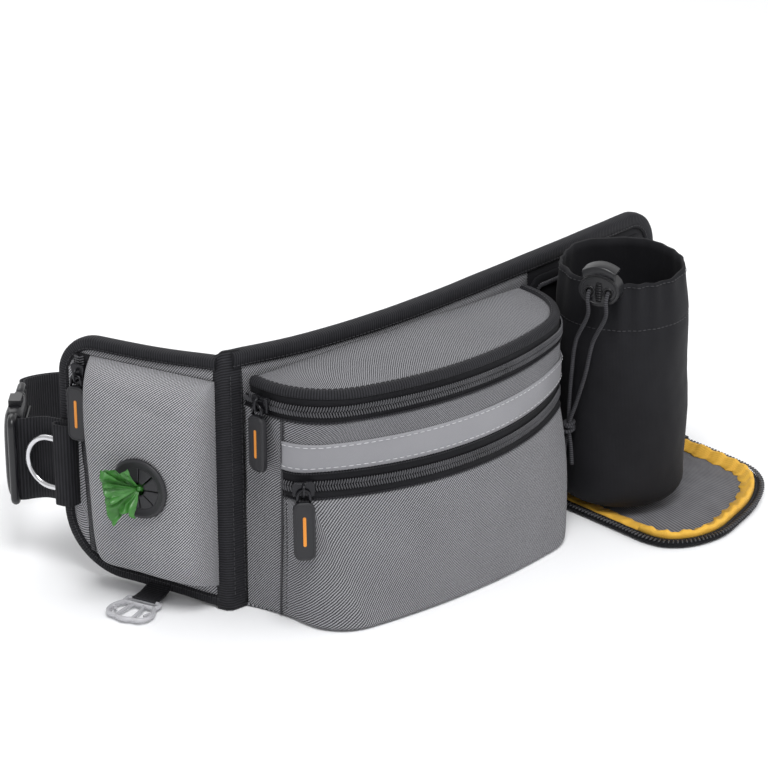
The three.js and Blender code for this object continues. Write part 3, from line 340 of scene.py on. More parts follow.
class Paint:
    """A node material that is built up by short calls."""

    def __init__(self, name, roughness, metallic=0.0):
        self.material = bpy.data.materials.new(name)
        self.material.use_nodes = True
        self.tree = self.material.node_tree
        self.shader = self.tree.nodes["Principled BSDF"]
        self.shader.inputs["Roughness"].default_value = roughness
        self.shader.inputs["Metallic"].default_value = metallic

    def node(self, kind, **values):
        node = self.tree.nodes.new(kind)
        for key, value in values.items():
            if key in node.inputs:
                node.inputs[key].default_value = value
            else:
                setattr(node, key, value)
        return node

    def link(self, source, target):
        self.tree.links.new(source, target)

    def math(self, operation, a, b=0.0):
        node = self.node("ShaderNodeMath", operation=operation)
        for slot, value in enumerate((a, b)):
            if isinstance(value, (int, float)):
                node.inputs[slot].default_value = value
            else:
                self.link(value, node.inputs[slot])
        return node.outputs[0]

    def times(self, a, b):
        return self.math("MULTIPLY", a, b)

    def plus(self, a, b):
        return self.math("ADD", a, b)

    def place(self, uv=True):
        node = self.node("ShaderNodeTexCoord")
        return node.outputs["UV" if uv else "Object"]

    def split(self, vector):
        node = self.node("ShaderNodeSeparateXYZ")
        self.link(vector, node.inputs[0])
        return node.outputs[0], node.outputs[1], node.outputs[2]

    def wave(self, value, pitch):
        """0 to 1 and back once in each pitch."""
        angle = self.math("MULTIPLY", value, 2 * math.pi / pitch)
        return self.math("ADD", self.math("MULTIPLY", self.math("SINE", angle), 0.5), 0.5)

    def grain(self, vector, scale, detail=4.0):
        node = self.node("ShaderNodeTexNoise", Scale=scale, Detail=detail)
        self.link(vector, node.inputs["Vector"])
        return node.outputs["Fac"]

    def colour(self, value, dark, light):
        node = self.node("ShaderNodeMix", data_type="RGBA")
        self.link(value, node.inputs["Factor"])
        node.inputs[6].default_value = (*dark, 1)
        node.inputs[7].default_value = (*light, 1)
        self.link(node.outputs[2], self.shader.inputs["Base Color"])

    def bump(self, value, depth, strength):
        node = self.node("ShaderNodeBump", Strength=strength, Distance=depth * MM)
        self.link(value, node.inputs["Height"])
        self.link(node.outputs["Normal"], self.shader.inputs["Normal"])

    def sheen(self, weight):
        self.shader.inputs["Sheen Weight"].default_value = weight
        self.shader.inputs["Sheen Roughness"].default_value = 0.45
        self.shader.inputs["Specular IOR Level"].default_value = 0.22


def linear(value):
    """The linear value of an sRGB level from 0 to 255."""
    level = value / 255
    return level / 12.92 if level <= 0.04045 else ((level + 0.055) / 1.055) ** 2.4


def grey(value):
    """A grey from its sRGB level, a shade cool."""
    return linear(value), linear(value), linear(value + 4)


def twill(name, dark, light, pitch=1.65, lean=1):
    """Two-tone cloth: slanting ribs of light thread, broken into dashes by the dark ones."""
    paint = Paint(name, roughness=0.9)
    u, v, _ = paint.split(paint.place())
    slant, cross = ("ADD", "SUBTRACT") if lean > 0 else ("SUBTRACT", "ADD")
    wander = paint.times(paint.grain(paint.place(), 0.25, 2.0), 0.8)
    ribs = paint.wave(paint.plus(paint.math(slant, u, v), wander), pitch)
    dashes = paint.wave(paint.math(cross, u, v), pitch * 1.15)
    weave = paint.times(ribs, paint.plus(paint.times(dashes, 0.45), 0.75))
    slubs = paint.times(paint.grain(paint.place(), 0.7, 3.0), 0.3)
    patches = paint.times(paint.grain(paint.place(), 0.03), 0.14)
    paint.colour(paint.math("SUBTRACT", paint.plus(weave, paint.plus(slubs, patches)), 0.2),
                 dark, light)
    paint.bump(weave, 0.3, 0.5)
    paint.sheen(0.04)
    return paint.material


def ribbed(name, dark, light, pitch, depth=0.3, across=False):
    """Grosgrain, webbing and zip tape: ribs across the tape's length."""
    paint = Paint(name, roughness=0.75)
    u, v, _ = paint.split(paint.place())
    ribs = paint.wave(v if across else u, pitch)
    yarn = paint.wave(u if across else v, 0.6)
    weave = paint.plus(paint.times(ribs, 0.75), paint.times(yarn, 0.25))
    worn = paint.times(paint.grain(paint.place(), 0.12), 0.4)
    paint.colour(paint.math("SUBTRACT", paint.plus(weave, worn), 0.2), dark, light)
    paint.bump(weave, depth, 0.7)
    paint.sheen(0.03)
    return paint.material


def plain_cloth(name, dark, light, pitch=0.7, sheen=0.03, roughness=0.75):
    paint = Paint(name, roughness=roughness)
    u, v, _ = paint.split(paint.place())
    weave = paint.times(paint.wave(u, pitch), paint.wave(v, pitch))
    patches = paint.grain(paint.place(), 0.04)
    value = paint.plus(paint.times(weave, 0.45), paint.times(patches, 0.6))
    paint.colour(value, dark, light)
    paint.bump(weave, 0.15, 0.4)
    paint.sheen(sheen)
    return paint.material


def moulded(name, dark, light, roughness, metallic=0.0, coat=0.0):
    """Moulded or cast pieces: a fine grain, with rubbed patches that are smoother."""
    paint = Paint(name, roughness=roughness, metallic=metallic)
    spot = paint.place(uv=False)
    fine = paint.grain(spot, 900.0, 3.0)
    rubbed = paint.grain(spot, 60.0)
    paint.colour(rubbed, dark, light)
    paint.bump(fine, 0.05, 0.35)
    shine = paint.plus(paint.times(rubbed, 0.2), roughness - 0.1)
    paint.link(shine, paint.shader.inputs["Roughness"])
    paint.shader.inputs["Coat Weight"].default_value = coat
    return paint.material


def crinkled(name, dark, light):
    """Thin plastic film, crumpled, that lets some light through."""
    paint = Paint(name, roughness=0.35)
    spot = paint.place(uv=False)
    folds = paint.grain(spot, 140.0, 6.0)
    paint.colour(folds, dark, light)
    paint.bump(folds, 0.8, 0.6)
    paint.shader.inputs["Transmission Weight"].default_value = 0.12
    return paint.material


POCKET_TWILL = twill("pocket_twill", grey(24), grey(182))
FRONT_TWILL = twill("front_twill", grey(12), grey(158), lean=-1)
BAND_TWILL = twill("band_twill", grey(6), grey(146), lean=-1)
LID_TWILL = twill("lid_twill", grey(22), grey(146), pitch=1.2, lean=-1)
FLAP_CLOTH = ribbed("flap_cloth", grey(62), grey(127), pitch=1.6, depth=0.2)
BLACK_RIB = ribbed("black_grosgrain", grey(2), grey(47), pitch=1.5)
WEBBING_RIB = ribbed("webbing", grey(4), grey(42), pitch=1.95, depth=0.45)
ZIP_TAPE = ribbed("zip_tape", grey(6), grey(26), pitch=0.8, depth=0.2, across=True)
BLACK_NYLON = plain_cloth("black_nylon", grey(8), grey(31))
MESH_CLOTH = plain_cloth("spacer_mesh", grey(12), grey(74), pitch=2.6)
LINING_CLOTH = plain_cloth("dark_lining", grey(38), grey(72))
YELLOW_CLOTH = plain_cloth("yellow_lining", (0.62, 0.3, 0.03), (0.96, 0.62, 0.1), roughness=0.6)
REFLECTIVE = plain_cloth("reflective_tape", grey(130), grey(148), pitch=0.5, sheen=0.05, roughness=0.4)
COIL = moulded("coil_nylon", grey(26), grey(84), roughness=0.3)
LIGHT_THREAD = moulded("light_thread", grey(170), grey(206), roughness=0.7)
DARK_THREAD = moulded("dark_thread", grey(26), grey(58), roughness=0.6)
RUBBER = moulded("pull_rubber", grey(18), grey(38), roughness=0.55)
BLACK_PLASTIC = moulded("black_acetal", grey(9), grey(27), roughness=0.34)
DEEP_BLACK = moulded("shaded_recess", grey(2), grey(6), roughness=0.9)
ENAMEL = moulded("black_enamel", grey(12), grey(42), roughness=0.26, metallic=0.5)
PALE_PLASTIC = moulded("pale_acetal", grey(160), grey(200), roughness=0.35, coat=0.2)
CHROME = moulded("polished_plating", (0.5, 0.5, 0.52), (0.74, 0.74, 0.76), roughness=0.18, metallic=1.0)
FILM = crinkled("green_film", (0.012, 0.085, 0.008), (0.085, 0.33, 0.06))
CARD = moulded("rolled_card", (0.3, 0.2, 0.1), (0.5, 0.37, 0.22), roughness=0.85)
CORD_BRAID = ribbed("braided_cord", grey(22), grey(74), pitch=1.2, depth=0.25)
ORANGE = moulded("orange_mark", (0.6, 0.2, 0.02), (0.8, 0.3, 0.03), roughness=0.5)


def piece(name, parts, body, slot, *nodes):
    """Joins painted parts into one named piece that rides on a body and stands in for CAD nodes."""
    parts = parts if isinstance(parts, list) else [parts]
    whole = parts[0]
    if len(parts) > 1:
        bpy.ops.object.select_all(action="DESELECT")
        for part in parts:
            part.select_set(True)
        bpy.context.view_layer.objects.active = whole
        bpy.ops.object.join()
    whole.name = name
    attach(whole, body)
    if nodes:
        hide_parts(*nodes)
    return whole


def repaint(node, material):
    """Gives a CAD node that stays visible its finish."""
    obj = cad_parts[node]
    for slot in obj.material_slots:
        slot.material = material
    if not obj.material_slots:
        obj.data.materials.append(material)


# ---- back panel, wings and their bindings ----


def sandwich(material, face, under):
    """Closes two equal grids, a face and the side under it, into one piece of cloth or padding."""
    face, under = np.array(face, float), np.array(under, float)
    rows, cols = face.shape[:2]
    lower = rows * cols
    faces = []
    for i in range(rows - 1):
        for j in range(cols - 1):
            a, b = i * cols + j, i * cols + j + 1
            c, d = b + cols, a + cols
            faces += [(a, b, c, d), (lower + d, lower + c, lower + b, lower + a)]
    edge = list(range(cols)) + [i * cols + cols - 1 for i in range(1, rows)]
    edge += [(rows - 1) * cols + j for j in range(cols - 2, -1, -1)]
    edge += [i * cols for i in range(rows - 2, 0, -1)]
    for a, b in zip(edge, edge[1:] + edge[:1]):
        faces.append((b, a, lower + a, lower + b))
    points = np.vstack([face.reshape(-1, 3), under.reshape(-1, 3)])
    uv = grid_uv(face)
    return outward(add_object(material, points, faces, uv + uv))


def sheet(material, rows, cols, both):
    """A sandwich from a function that gives the face's point and the one under it."""
    pairs = np.array([[both(row, col) for col in cols] for row in rows], float)
    return sandwich(material, pairs[:, :, 0], pairs[:, :, 1])


def moulding(path, sections):
    """Rings of (offset inwards, height) sections, one at each point of a plan path."""
    return [[(*(p + n * q), h) for q, h in section] for p, n, section in zip(path, inward(path), sections)]


def beside(path, offset, z):
    """A plan path moved inwards, at a height."""
    return [(*(p + n * offset), z) for p, n in zip(path, inward(path))]


def rounded(end, radius, height, away):
    """Height of an outline whose corner near s = end is rounded; away is +1 below, -1 above."""
    def at(s):
        run = radius - (end - s)
        if run <= 0:
            return height
        return height + away * (radius - math.sqrt(max(radius**2 - run**2, 0)))
    return at


def padded_panel(material, frame_at, start, end, low, high, crown=1.1):
    """A foam panel between two layers of cloth, a little proud in its middle."""
    def both(w, s):
        z = low(s) + (high(s) - low(s)) * w
        u = 2 * (s - start) / (end - start) - 1
        lift = crown * (1 - abs(u) ** 6) * (1 - abs(2 * w - 1) ** 6) + ripple((s, z, 0), 34, 0.35)
        return frame_at(s, z, lift), frame_at(s, z, -PANEL_THICK - lift * 0.6)

    return sheet(material, spread(0, 1, 22), spread(start, end, 40), both)


def arc(cx, cy, radius, start, end, steps):
    return [(cx + radius * math.cos(a), cy + radius * math.sin(a)) for a in spread(start, end, steps)]


def inward(path):
    """Unit normals to the left of a plan path, lengthened at its corners."""
    ways = np.diff(np.array(path, float), axis=0)
    ways /= np.linalg.norm(ways, axis=1, keepdims=True)
    a, b = np.vstack([ways[:1], ways]), np.vstack([ways, ways[-1:]])
    normal = np.stack([-a[:, 1] - b[:, 1], a[:, 0] + b[:, 0]], axis=1)
    return normal * 2 / (normal**2).sum(axis=1, keepdims=True)


def bound_edge(material, frame_at, path, width, front, back):
    """Tape folded over an edge: rounded outside, flat on both faces."""
    mid = (front + back) / 2
    half = [(width, 0.9), (width - 0.4, 0), (width / 2, -0.25), (1.4, 0), (0.4, 1.2)]
    section = [(q, front - h) for q, h in half] + [(0, mid)] + [(q, back + h) for q, h in half[::-1]]
    rings = []
    for (s, z), (ns, nz) in zip(path, inward(path)):
        wave = ripple((s, z, 5), 22, 0.35)
        rings.append([frame_at(s + ns * q, z + nz * q, d + wave * (1 if d > mid else -1))
                      for q, d in section])
    return sweep(material, rings)


def line_back(panel, normal_at):
    """Gives the wearer's side of a panel its black cloth."""
    panel.data.materials.append(BLACK_NYLON)
    for face in panel.data.polygons:
        out = Vector(normal_at(np.array(face.center) / MM))
        if face.normal.dot(out) < -0.3:
            face.material_index = 1


def bind(name, node, frame_at, normal_at, path, width, inset):
    """An edge's tape with its row of stitches, inset from the tape's inner edge."""
    tape = bound_edge(BLACK_RIB, frame_at, path, width, PROUD, -PANEL_THICK - PROUD)
    reach = width - inset
    line = [frame_at(s + ns * reach, z + nz * reach, PROUD + 0.2)
            for (s, z), (ns, nz) in zip(path, inward(path))]
    seam = stitch_row(DARK_THREAD, line, normal_at, pitch=2.7, size=(1.9, 0.5, 0.5))
    piece(name, [tape, seam], "bag", "black_tape", node)


def back_normal(p):
    s = back_station(p[0])
    return on_back(s, 0, 1) - on_back(s, 0, 0)


def wing_normal(_):
    return NORMAL


def dip(s):
    """How far the bag's bottom edge sags near the fold."""
    return 2.6 * math.exp(-((s / 40) ** 2))


def peak(s):
    """How far the top edge rises near the fold."""
    return 3.2 * math.exp(-((s / 34) ** 2))


def outline_with_rounds(end, low, high, foot_radius, top_radius):
    """A panel's edge from its foot at the fold, round two corners and back along its top."""
    start = 5.4
    path = [(s, low - dip(s)) for s in spread(start, end - foot_radius, 30)]
    path += arc(end - foot_radius, low + foot_radius, foot_radius, -math.pi / 2, 0, 14)[1:]
    path += [(end, z) for z in spread(low + foot_radius, high - top_radius, 18)[1:-1]]
    path += arc(end - top_radius, high - top_radius, top_radius, 0, math.pi / 2, 14)
    path += [(s, high + peak(s)) for s in spread(end - top_radius, start, 30)[1:]]
    return path


def make_back():
    low, high = FOOT + BINDING - 1, PANEL_HEIGHT - BINDING + 1
    divider, end = back_station(DIVIDER_X), BACK.length - BINDING + 1
    middle = padded_panel(FRONT_TWILL, on_back, STRIP_WIDTH - 1, divider, lambda s: low - dip(s),
                          lambda s: high + peak(s))
    line_back(middle, back_normal)
    piece("back_panel_padded", middle, "bag", "grey_fabric", "back_panel")
    right = padded_panel(BLACK_NYLON, on_back, divider, end,
                         rounded(end, 15, low, 1), rounded(end, 15, high, -1))
    piece("right_wing_padded", right, "bag", "black_fabric", "right_wing_panel")
    path = outline_with_rounds(BACK.length, FOOT, PANEL_HEIGHT, 24, 24)
    bind("back_binding_tape", "back_binding", on_back, back_normal, path, BINDING, 1.6)
    make_fold()
    make_mesh_pad()


def make_fold():
    """Tape round the fold between the left wing and the back, over the ends of both bindings."""
    front = [on_wing(s, 0, PROUD + 0.4) for s in (7, 5, 3, 1.2)]
    front += [on_back(s, 0, PROUD + 0.4) for s in (1.2, 3, 5, 8, STRIP_WIDTH)]
    back = [on_wing(s, 0, -PANEL_THICK - PROUD - 0.3) for s in (8, 7.3, 6.6, 5.6)]
    back += [on_back(s, 0, -PANEL_THICK - PROUD - 0.3) for s in (5.6, 6.6, 7.6, 9, STRIP_WIDTH)]
    tops = [150.6, 151.2, 152.4, 153.4, 153.8, 153.6, 153.4, 153.2, 153]

    def both(edge, w):
        p, q, top = edge
        z, draw = UP * (0.3 + (top - 0.3) * w), 0.35 * w**14
        return p * (1 - draw) + q * draw + z, q * (1 - draw) + p * draw + z

    parts = [sheet(BLACK_RIB, list(zip(front, back, tops)), spread(0, 1, 30), both)]
    for s in (2.6, STRIP_WIDTH - 1.4):
        points = [on_back(s, z, PROUD + 0.5) for z in spread(FOOT + 6, PANEL_HEIGHT - 8, 40)]
        parts.append(stitch_row(DARK_THREAD, points, back_normal))
    piece("fold_tape", parts, "bag", "black_tape", "fold_strip")


def make_mesh_pad():
    """Spacer mesh over foam on the wearer's side, sewn down in upright channels."""
    start, end = STRIP_WIDTH + 8, BACK.length - BINDING - 20.3
    low, high = FOOT + BINDING + 8.3, PANEL_HEIGHT - BINDING - 8.3
    channels = 5

    def both(z, s):
        u = 2 * (s - start) / (end - start) - 1
        w = 2 * (z - low) / (high - low) - 1
        quilt = abs(math.sin(channels * math.pi * (u + 1) / 2)) ** 0.45
        puff = (1 - abs(u) ** 8) * (1 - abs(w) ** 8) * (0.35 + 0.65 * quilt)
        return on_back(s, z, -PANEL_THICK - 0.9 - 4.6 * puff), on_back(s, z, -PANEL_THICK - 0.4)

    pad = sheet(MESH_CLOTH, spread(low, high, 40), spread(start, end, 90), both)
    piece("back_spacer_mesh", pad, "bag", "mesh_fabric", "back_mesh_pad")


def make_left_wing():
    low, high = FOOT + WING_BINDING - 1, WING_HEIGHT - WING_BINDING + 1
    end = WING_LENGTH - WING_BINDING + 1
    foot, top = rounded(end, 31, low, 1), rounded(end, 18, high, -1)
    wing = padded_panel(POCKET_TWILL, on_wing, 5.0, end, lambda s: foot(s) - dip(s),
                        lambda s: top(s) + peak(s), crown=0.5)
    line_back(wing, wing_normal)
    piece("left_wing_padded", wing, "bag", "grey_fabric", "left_wing_panel")
    path = outline_with_rounds(WING_LENGTH, FOOT, WING_HEIGHT, 38, 25)
    bind("left_wing_tape", "left_wing_binding", on_wing, wing_normal, path, WING_BINDING, 1.4)


# ---- main pouch ----


def seam_index(z):
    """How far round the plan, in its points, the left seam is at a height."""
    nx, ny, reach = SEAM_PLANE
    side = [x * nx + y * ny for x, y in pouch_path(z, 0)[:SIDE_STEPS + CORNER_STEPS + 1]]
    return float(np.interp(reach, side, range(len(side))))


def stretch(z, depth, part):
    """One piece's share of the plan at a height: left, front, right or the whole."""
    path = np.array(pouch_path(z, depth))
    if part not in ("whole", "lid"):
        flare = np.linspace(1, 0, SIDE_STEPS + 1) ** 1.5
        path[:SIDE_STEPS + 1, 0] += (STRIP_X - path[:SIDE_STEPS + 1, 0]) * flare
    seam = seam_index(min(z, BAND_TOP))
    first, last, count = {
        "left": (0, seam, 16), "front": (seam, LAST - seam, 90), "right": (LAST - seam, LAST, 16),
        "whole": (0, LAST, LAST), "lid": (LID_START, LAST - LID_START, LAST),
    }[part]
    at = spread(first, last, count)
    return np.stack([np.interp(at, range(LAST + 1), path[:, i]) for i in (0, 1)], axis=1)


def wall_grid(levels, depth, part, puff=0.0, foot=0.0):
    """Rows of wall points between heights: puff fills the cloth out, foot rounds it under."""
    rows = []
    for z in levels:
        path = stretch(max(z, 0), depth, part)
        tangent = np.gradient(path, axis=0)
        out = np.stack([tangent[:, 1], -tangent[:, 0]], axis=1)
        out /= np.linalg.norm(out, axis=1, keepdims=True)
        w = (z - levels[0]) / (levels[-1] - levels[0])
        row = []
        for k, ((x, y), n) in enumerate(zip(path, out)):
            u = k / max(len(path) - 1, 1)
            swell = puff * math.sin(math.pi * w) ** 0.8 * math.sin(math.pi * u) ** 0.5
            swell += ripple((x, y, z), 30, 0.5) * min(1, 6 * w, 6 * (1 - w))
            under = foot * max(0, 1 - z / foot) if foot else 0
            swell -= foot - math.sqrt(max(foot**2 - under**2, 0)) if foot else 0
            row.append((x + n[0] * swell, y + n[1] * swell, z))
        rows.append(row)
    return np.array(rows)


def wall(material, levels, depth, thick, part, **shape):
    return sandwich(material, *(wall_grid(levels, d, part, **shape) for d in (depth, depth + thick)))


def plan_line(z, depth, part="front"):
    return [(x, y, z) for x, y in stretch(z, depth, part)]


def wall_normal(p):
    """Roughly outwards from the pouch at a point on its wall."""
    _, _, _, arc_y, corner_x, corner_y = pouch_plan(min(max(p[2], 0), PLANS[-1][0]))
    if abs(p[0]) < corner_x:
        return (p[0], p[1] - arc_y, 0)
    side = math.copysign(corner_x, p[0])
    return (p[0] - side, min(p[1] - corner_y, 0), 0)


CLOTH, TAPE_THICK, FOOT_ROUND, DIVIDER_DEPTH = 1.6, 1.3, 3.0, 9


def wall_levels(top, steps):
    """Heights from the floor to the top, closer together where the foot is rounded."""
    return [*spread(0, 8, 6), *spread(8, top, steps)[1:]]


def make_pouch():
    for side in ("left", "right"):
        gusset = wall(FRONT_TWILL, wall_levels(BAND_TOP, 40), 0, CLOTH, side, foot=FOOT_ROUND)
        piece(side + "_gusset_cloth", gusset, "bag", "grey_fabric", side + "_gusset")
    front = wall(FRONT_TWILL, wall_levels(POCKET_TOP, 30), 0, CLOTH, "front", puff=1.6, foot=FOOT_ROUND)
    piece("front_pocket_cloth", front, "bag", "grey_fabric", "front_pocket_panel")
    band = wall(BAND_TWILL, spread(FRONT_ZIP_TOP, BAND_TOP, 16), 0, CLOTH, "front", puff=0.5)
    piece("upper_band_cloth", band, "bag", "grey_fabric", "upper_band")
    make_reflective()
    inner = wall(LINING_CLOTH, spread(2.6, BAND_TOP - 1, 12), DIVIDER_DEPTH, 1.2, "front")
    piece("divider_cloth", inner, "bag", "dark_lining", "pocket_divider")
    make_floor_cloth()
    make_side_seams()
    make_front_zip()
    make_top_zip()


def make_reflective():
    levels = spread(FRONT_ZIP_TOP + 0.8, REFLECTIVE_TOP, 8)
    parts = [wall(REFLECTIVE, levels, -0.95, 0.7, "front", puff=0.4)]
    for z in (levels[0] + 2.2, levels[-1] - 1.6):
        line = plan_line(z, -1.3)
        parts.append(stitch_row(LIGHT_THREAD, line, wall_normal, pitch=4.2, size=(2.7, 0.45, 0.4)))
    piece("reflective_tape_sewn", parts, "bag", "reflective", "reflective_strip")


def make_floor_cloth():
    """The pouch's bottom: one layer with its edge turned up into the walls' seam."""
    rim = np.vstack([stretch(0, 2.4, "left")[:-1], stretch(0, 2.4, "front"), stretch(0, 2.4, "right")[1:]])

    def both(t, p):
        x, y = p
        heel = back_y(x) - PROUD - 0.3
        sole = y + (heel - y) * t
        return (x, sole, 1.8), (x, sole, 0.3 + ripple((x, y + 60 * t, 1), 40, 0.25))

    base = sheet(FRONT_TWILL, spread(0, 1, 10), rim, both)
    piece("pouch_bottom_cloth", base, "bag", "grey_fabric", "pouch_bottom")


def make_side_seams():
    """The upright seams beside the front pocket: a turned edge and a row of stitches."""
    parts = []
    for end, inner in ((0, 1), (-1, -2)):
        fold, row = [], []
        for z in spread(1.5, BAND_TOP - 1, 60):
            path = stretch(z, -0.2, "front")
            fold.append((*path[end], z))
            row.append((*(path[end] + (path[inner] - path[end]) * 0.7), z))
        parts += [tube(DARK_THREAD, fold, 0.7, 8), stitch_row(DARK_THREAD, row[2:], wall_normal)]
    piece("pocket_seams", parts, "bag", "grey_fabric")


def zip_tape(low, high, part, steps=4, depth=0, thick=TAPE_THICK):
    return wall(ZIP_TAPE, spread(low, high, steps), depth, thick, part)


def turned_edge(z, part, radius):
    """The folded cloth edge beside a zip's tape."""
    return tube(BLACK_RIB, plan_line(z, -0.2, part), radius, 8)


def make_front_zip():
    mid = (POCKET_TOP + FRONT_ZIP_TOP) / 2
    parts = [zip_tape(POCKET_TOP, mid - 1.9, "front"), zip_tape(mid + 1.9, FRONT_ZIP_TOP, "front"),
             zip_tape(mid - 2, mid + 2, "front", 2, 0.5, 1)]
    parts += [teeth(COIL, plan_line(mid, -0.3), wall_normal, side) for side in (-1, 1)]
    parts += [turned_edge(z, "front", 0.55) for z in (POCKET_TOP + 0.6, FRONT_ZIP_TOP - 0.6)]
    piece("front_zip_coil", parts, "bag", "black_tape", "front_zip")


def make_top_zip():
    mid = TOP_ZIP_MID
    lower = [zip_tape(BAND_TOP, mid - 1.9, "whole"), zip_tape(mid - 2.4, mid - 0.2, "whole", 2, 0.5, 1),
             teeth(COIL, plan_line(mid - 0.1, -0.3, "whole"), wall_normal, -1),
             turned_edge(BAND_TOP + 0.5, "whole", 0.6)]
    piece("top_zip_lower_coil", lower, "bag", "black_tape", "top_zip_lower")
    upper = [zip_tape(mid + 1.9, LID_BOTTOM, "lid"), zip_tape(mid + 0.2, mid + 2.4, "lid", 2, 0.5, 1),
             teeth(COIL, plan_line(mid + 0.1, -0.3, "lid"), wall_normal, 1)]
    piece("top_zip_upper_coil", upper, "lid", "black_tape", "top_zip_upper")


# ---- lid ----


def lid_plan(depth):
    return np.array(pouch_path(PLANS[-1][0], depth, LID_HINGE_Y + 4))


def make_lid():
    """A domed lid panel inside a rounded rim of tape."""
    outer = lid_plan(-0.6)
    section = [(0, 135.8), (-0.2, 137.2), (0.5, 139), (2, 140.2), (4.2, 140.2), (5.6, 139), (5.6, 136.4),
               (3, 135.8)]
    rim = sweep(BLACK_RIB, moulding(outer, [section] * len(outer)))
    seam = stitch_row(DARK_THREAD, beside(outer, 4.6, 140.2), lambda p: UP)
    piece("lid_rim_tape", [rim, seam], "lid", "black_tape", "lid_binding")
    inner = lid_plan(5.0)
    half = inner[:, 0].max()

    def both(t, p):
        x, y = p
        edge = min(back_y(x) - PROUD - 0.5, LID_HINGE_Y + 5)
        y = y + (edge - y) * t
        dome = 3.6 * (1 - (x / half) ** 2) * math.sin(math.pi * (0.08 + 0.84 * t)) ** 0.7
        z = 138.4 + dome + ripple((x, y, 2), 36, 0.8)
        return (x, y, z), (x, y, z - CLOTH)

    panel = sheet(LID_TWILL, spread(0, 1, 24), inner[1:-1], both)
    piece("lid_cloth", panel, "lid", "grey_fabric", "lid_panel")


# ---- waste-bag pocket on the left wing ----

POCKET_FROM, POCKET_LOW, POCKET_HIGH, POCKET_BULGE = 5.6, 15, 137, 25
GROMMET_S, GROMMET_Z, GROMMET_RADIUS, GROMMET_HOLE = 40, 76.5, 17.5, 12.6
BAG_ZIP_LOW, BAG_ZIP_HIGH, BAG_ZIP_FOOT, BAG_ZIP_HEAD, BAG_ZIP_TAPE = 24, 132, 86, 91.5, 4.4


def zip_station(z):
    t = (z - BAG_ZIP_LOW) / (BAG_ZIP_HIGH - BAG_ZIP_LOW)
    return BAG_ZIP_FOOT + (BAG_ZIP_HEAD - BAG_ZIP_FOOT) * t


def rise(q, power):
    return math.sqrt(max(1 - abs(q) ** power, 0))


def pocket_point(t, w, drop=0.0):
    """A point of the pocket: t runs from the fold to the zip, w from its foot to its top."""
    u, v = math.sin(t * math.pi / 2), math.sin(w * math.pi / 2)
    z = POCKET_LOW + (POCKET_HIGH - POCKET_LOW) * (v + 1) / 2
    s = POCKET_FROM + (zip_station(z) - BAG_ZIP_TAPE - 2.4 - POCKET_FROM) * (u + 1) / 2
    depth = 2 + (POCKET_BULGE - 2) * rise(u, 7) * rise(v, 7)
    near = math.hypot(s - GROMMET_S, z - GROMMET_Z) / (GROMMET_RADIUS + 6)
    loose = min(1, max(0, near - 0.8)) * rise(u, 4) * rise(v, 4)
    slack = ripple((s, z, 3), 42, 3.2) + ripple((s, z * 0.6, 9), 18, 0.9)
    crease = -1.6 * math.exp(-(((v - 0.78 - 0.12 * u) / 0.05) ** 2)) * rise(u, 6)
    return on_wing(s, z, depth + (slack + crease) * loose - drop)


def on_dispenser(x, y, h):
    return on_wing(GROMMET_S, GROMMET_Z, POCKET_BULGE) + ALONG * x + UP * y + NORMAL * h


def make_bag_pocket():
    """Padded cloth over the roll, with the dispenser's hole cut in it."""
    pocket = sheet(POCKET_TWILL, spread(-1, 1, 64), spread(-1, 1, 56),
                   lambda w, t: (pocket_point(t, w), pocket_point(t, w, 1.4)))
    hole = GROMMET_HOLE + 0.4
    cutter = lathe(POCKET_TWILL, [(0.01, -9), (hole, -9), (hole, 9), (0.01, 9)], on_dispenser)
    cut = pocket.modifiers.new("hole", "BOOLEAN")
    cut.object = cutter
    cut.operation = "DIFFERENCE"
    cut.solver = "EXACT"
    apply_modifiers(pocket)
    bpy.data.objects.remove(cutter)
    piece("bag_pocket_cloth", pocket, "bag", "grey_fabric", "bag_pocket")
    make_bag_zip()
    make_edge_strip()


def apply_modifiers(obj):
    graph = bpy.context.evaluated_depsgraph_get()
    mesh = bpy.data.meshes.new_from_object(obj.evaluated_get(graph))
    obj.modifiers.clear()
    obj.data = mesh


def make_bag_zip():
    heights = spread(BAG_ZIP_LOW - 6, BAG_ZIP_HIGH + 5, 30)
    parts = []
    for low, high, top in ((-BAG_ZIP_TAPE - 1.5, -1.7, 1.9), (1.7, BAG_ZIP_TAPE, 1.9), (-2, 2, 1.2)):
        parts.append(sheet(ZIP_TAPE, heights, spread(low, high, 2),
                           lambda z, s: [on_wing(zip_station(z) + s, z, d) for d in (top, 0.3)]))
    line = [on_wing(zip_station(z), z, 2.0) for z in heights]
    parts += [teeth(COIL, line, wing_normal, side) for side in (-1, 1)]
    piece("bag_zip_coil", parts, "bag", "black_tape", "bag_zip")


def make_edge_strip():
    def both(z, t):
        start = zip_station(z) + BAG_ZIP_TAPE - 0.4
        stop = WING_LENGTH - WING_BINDING - max(1.4, (58 - z) * 0.42)
        s = start + (max(stop, start + 1) - start) * t
        return on_wing(s, z, 1.9 + ripple((s, z, 4), 20, 0.3)), on_wing(s, z, 0.3)

    strip = sheet(POCKET_TWILL, spread(32, 128, 24), spread(0, 1, 4), both)
    piece("pocket_edge_cloth", strip, "bag", "grey_fabric", "pocket_edge_strip")


# ---- dispenser, bag tail and roll ----


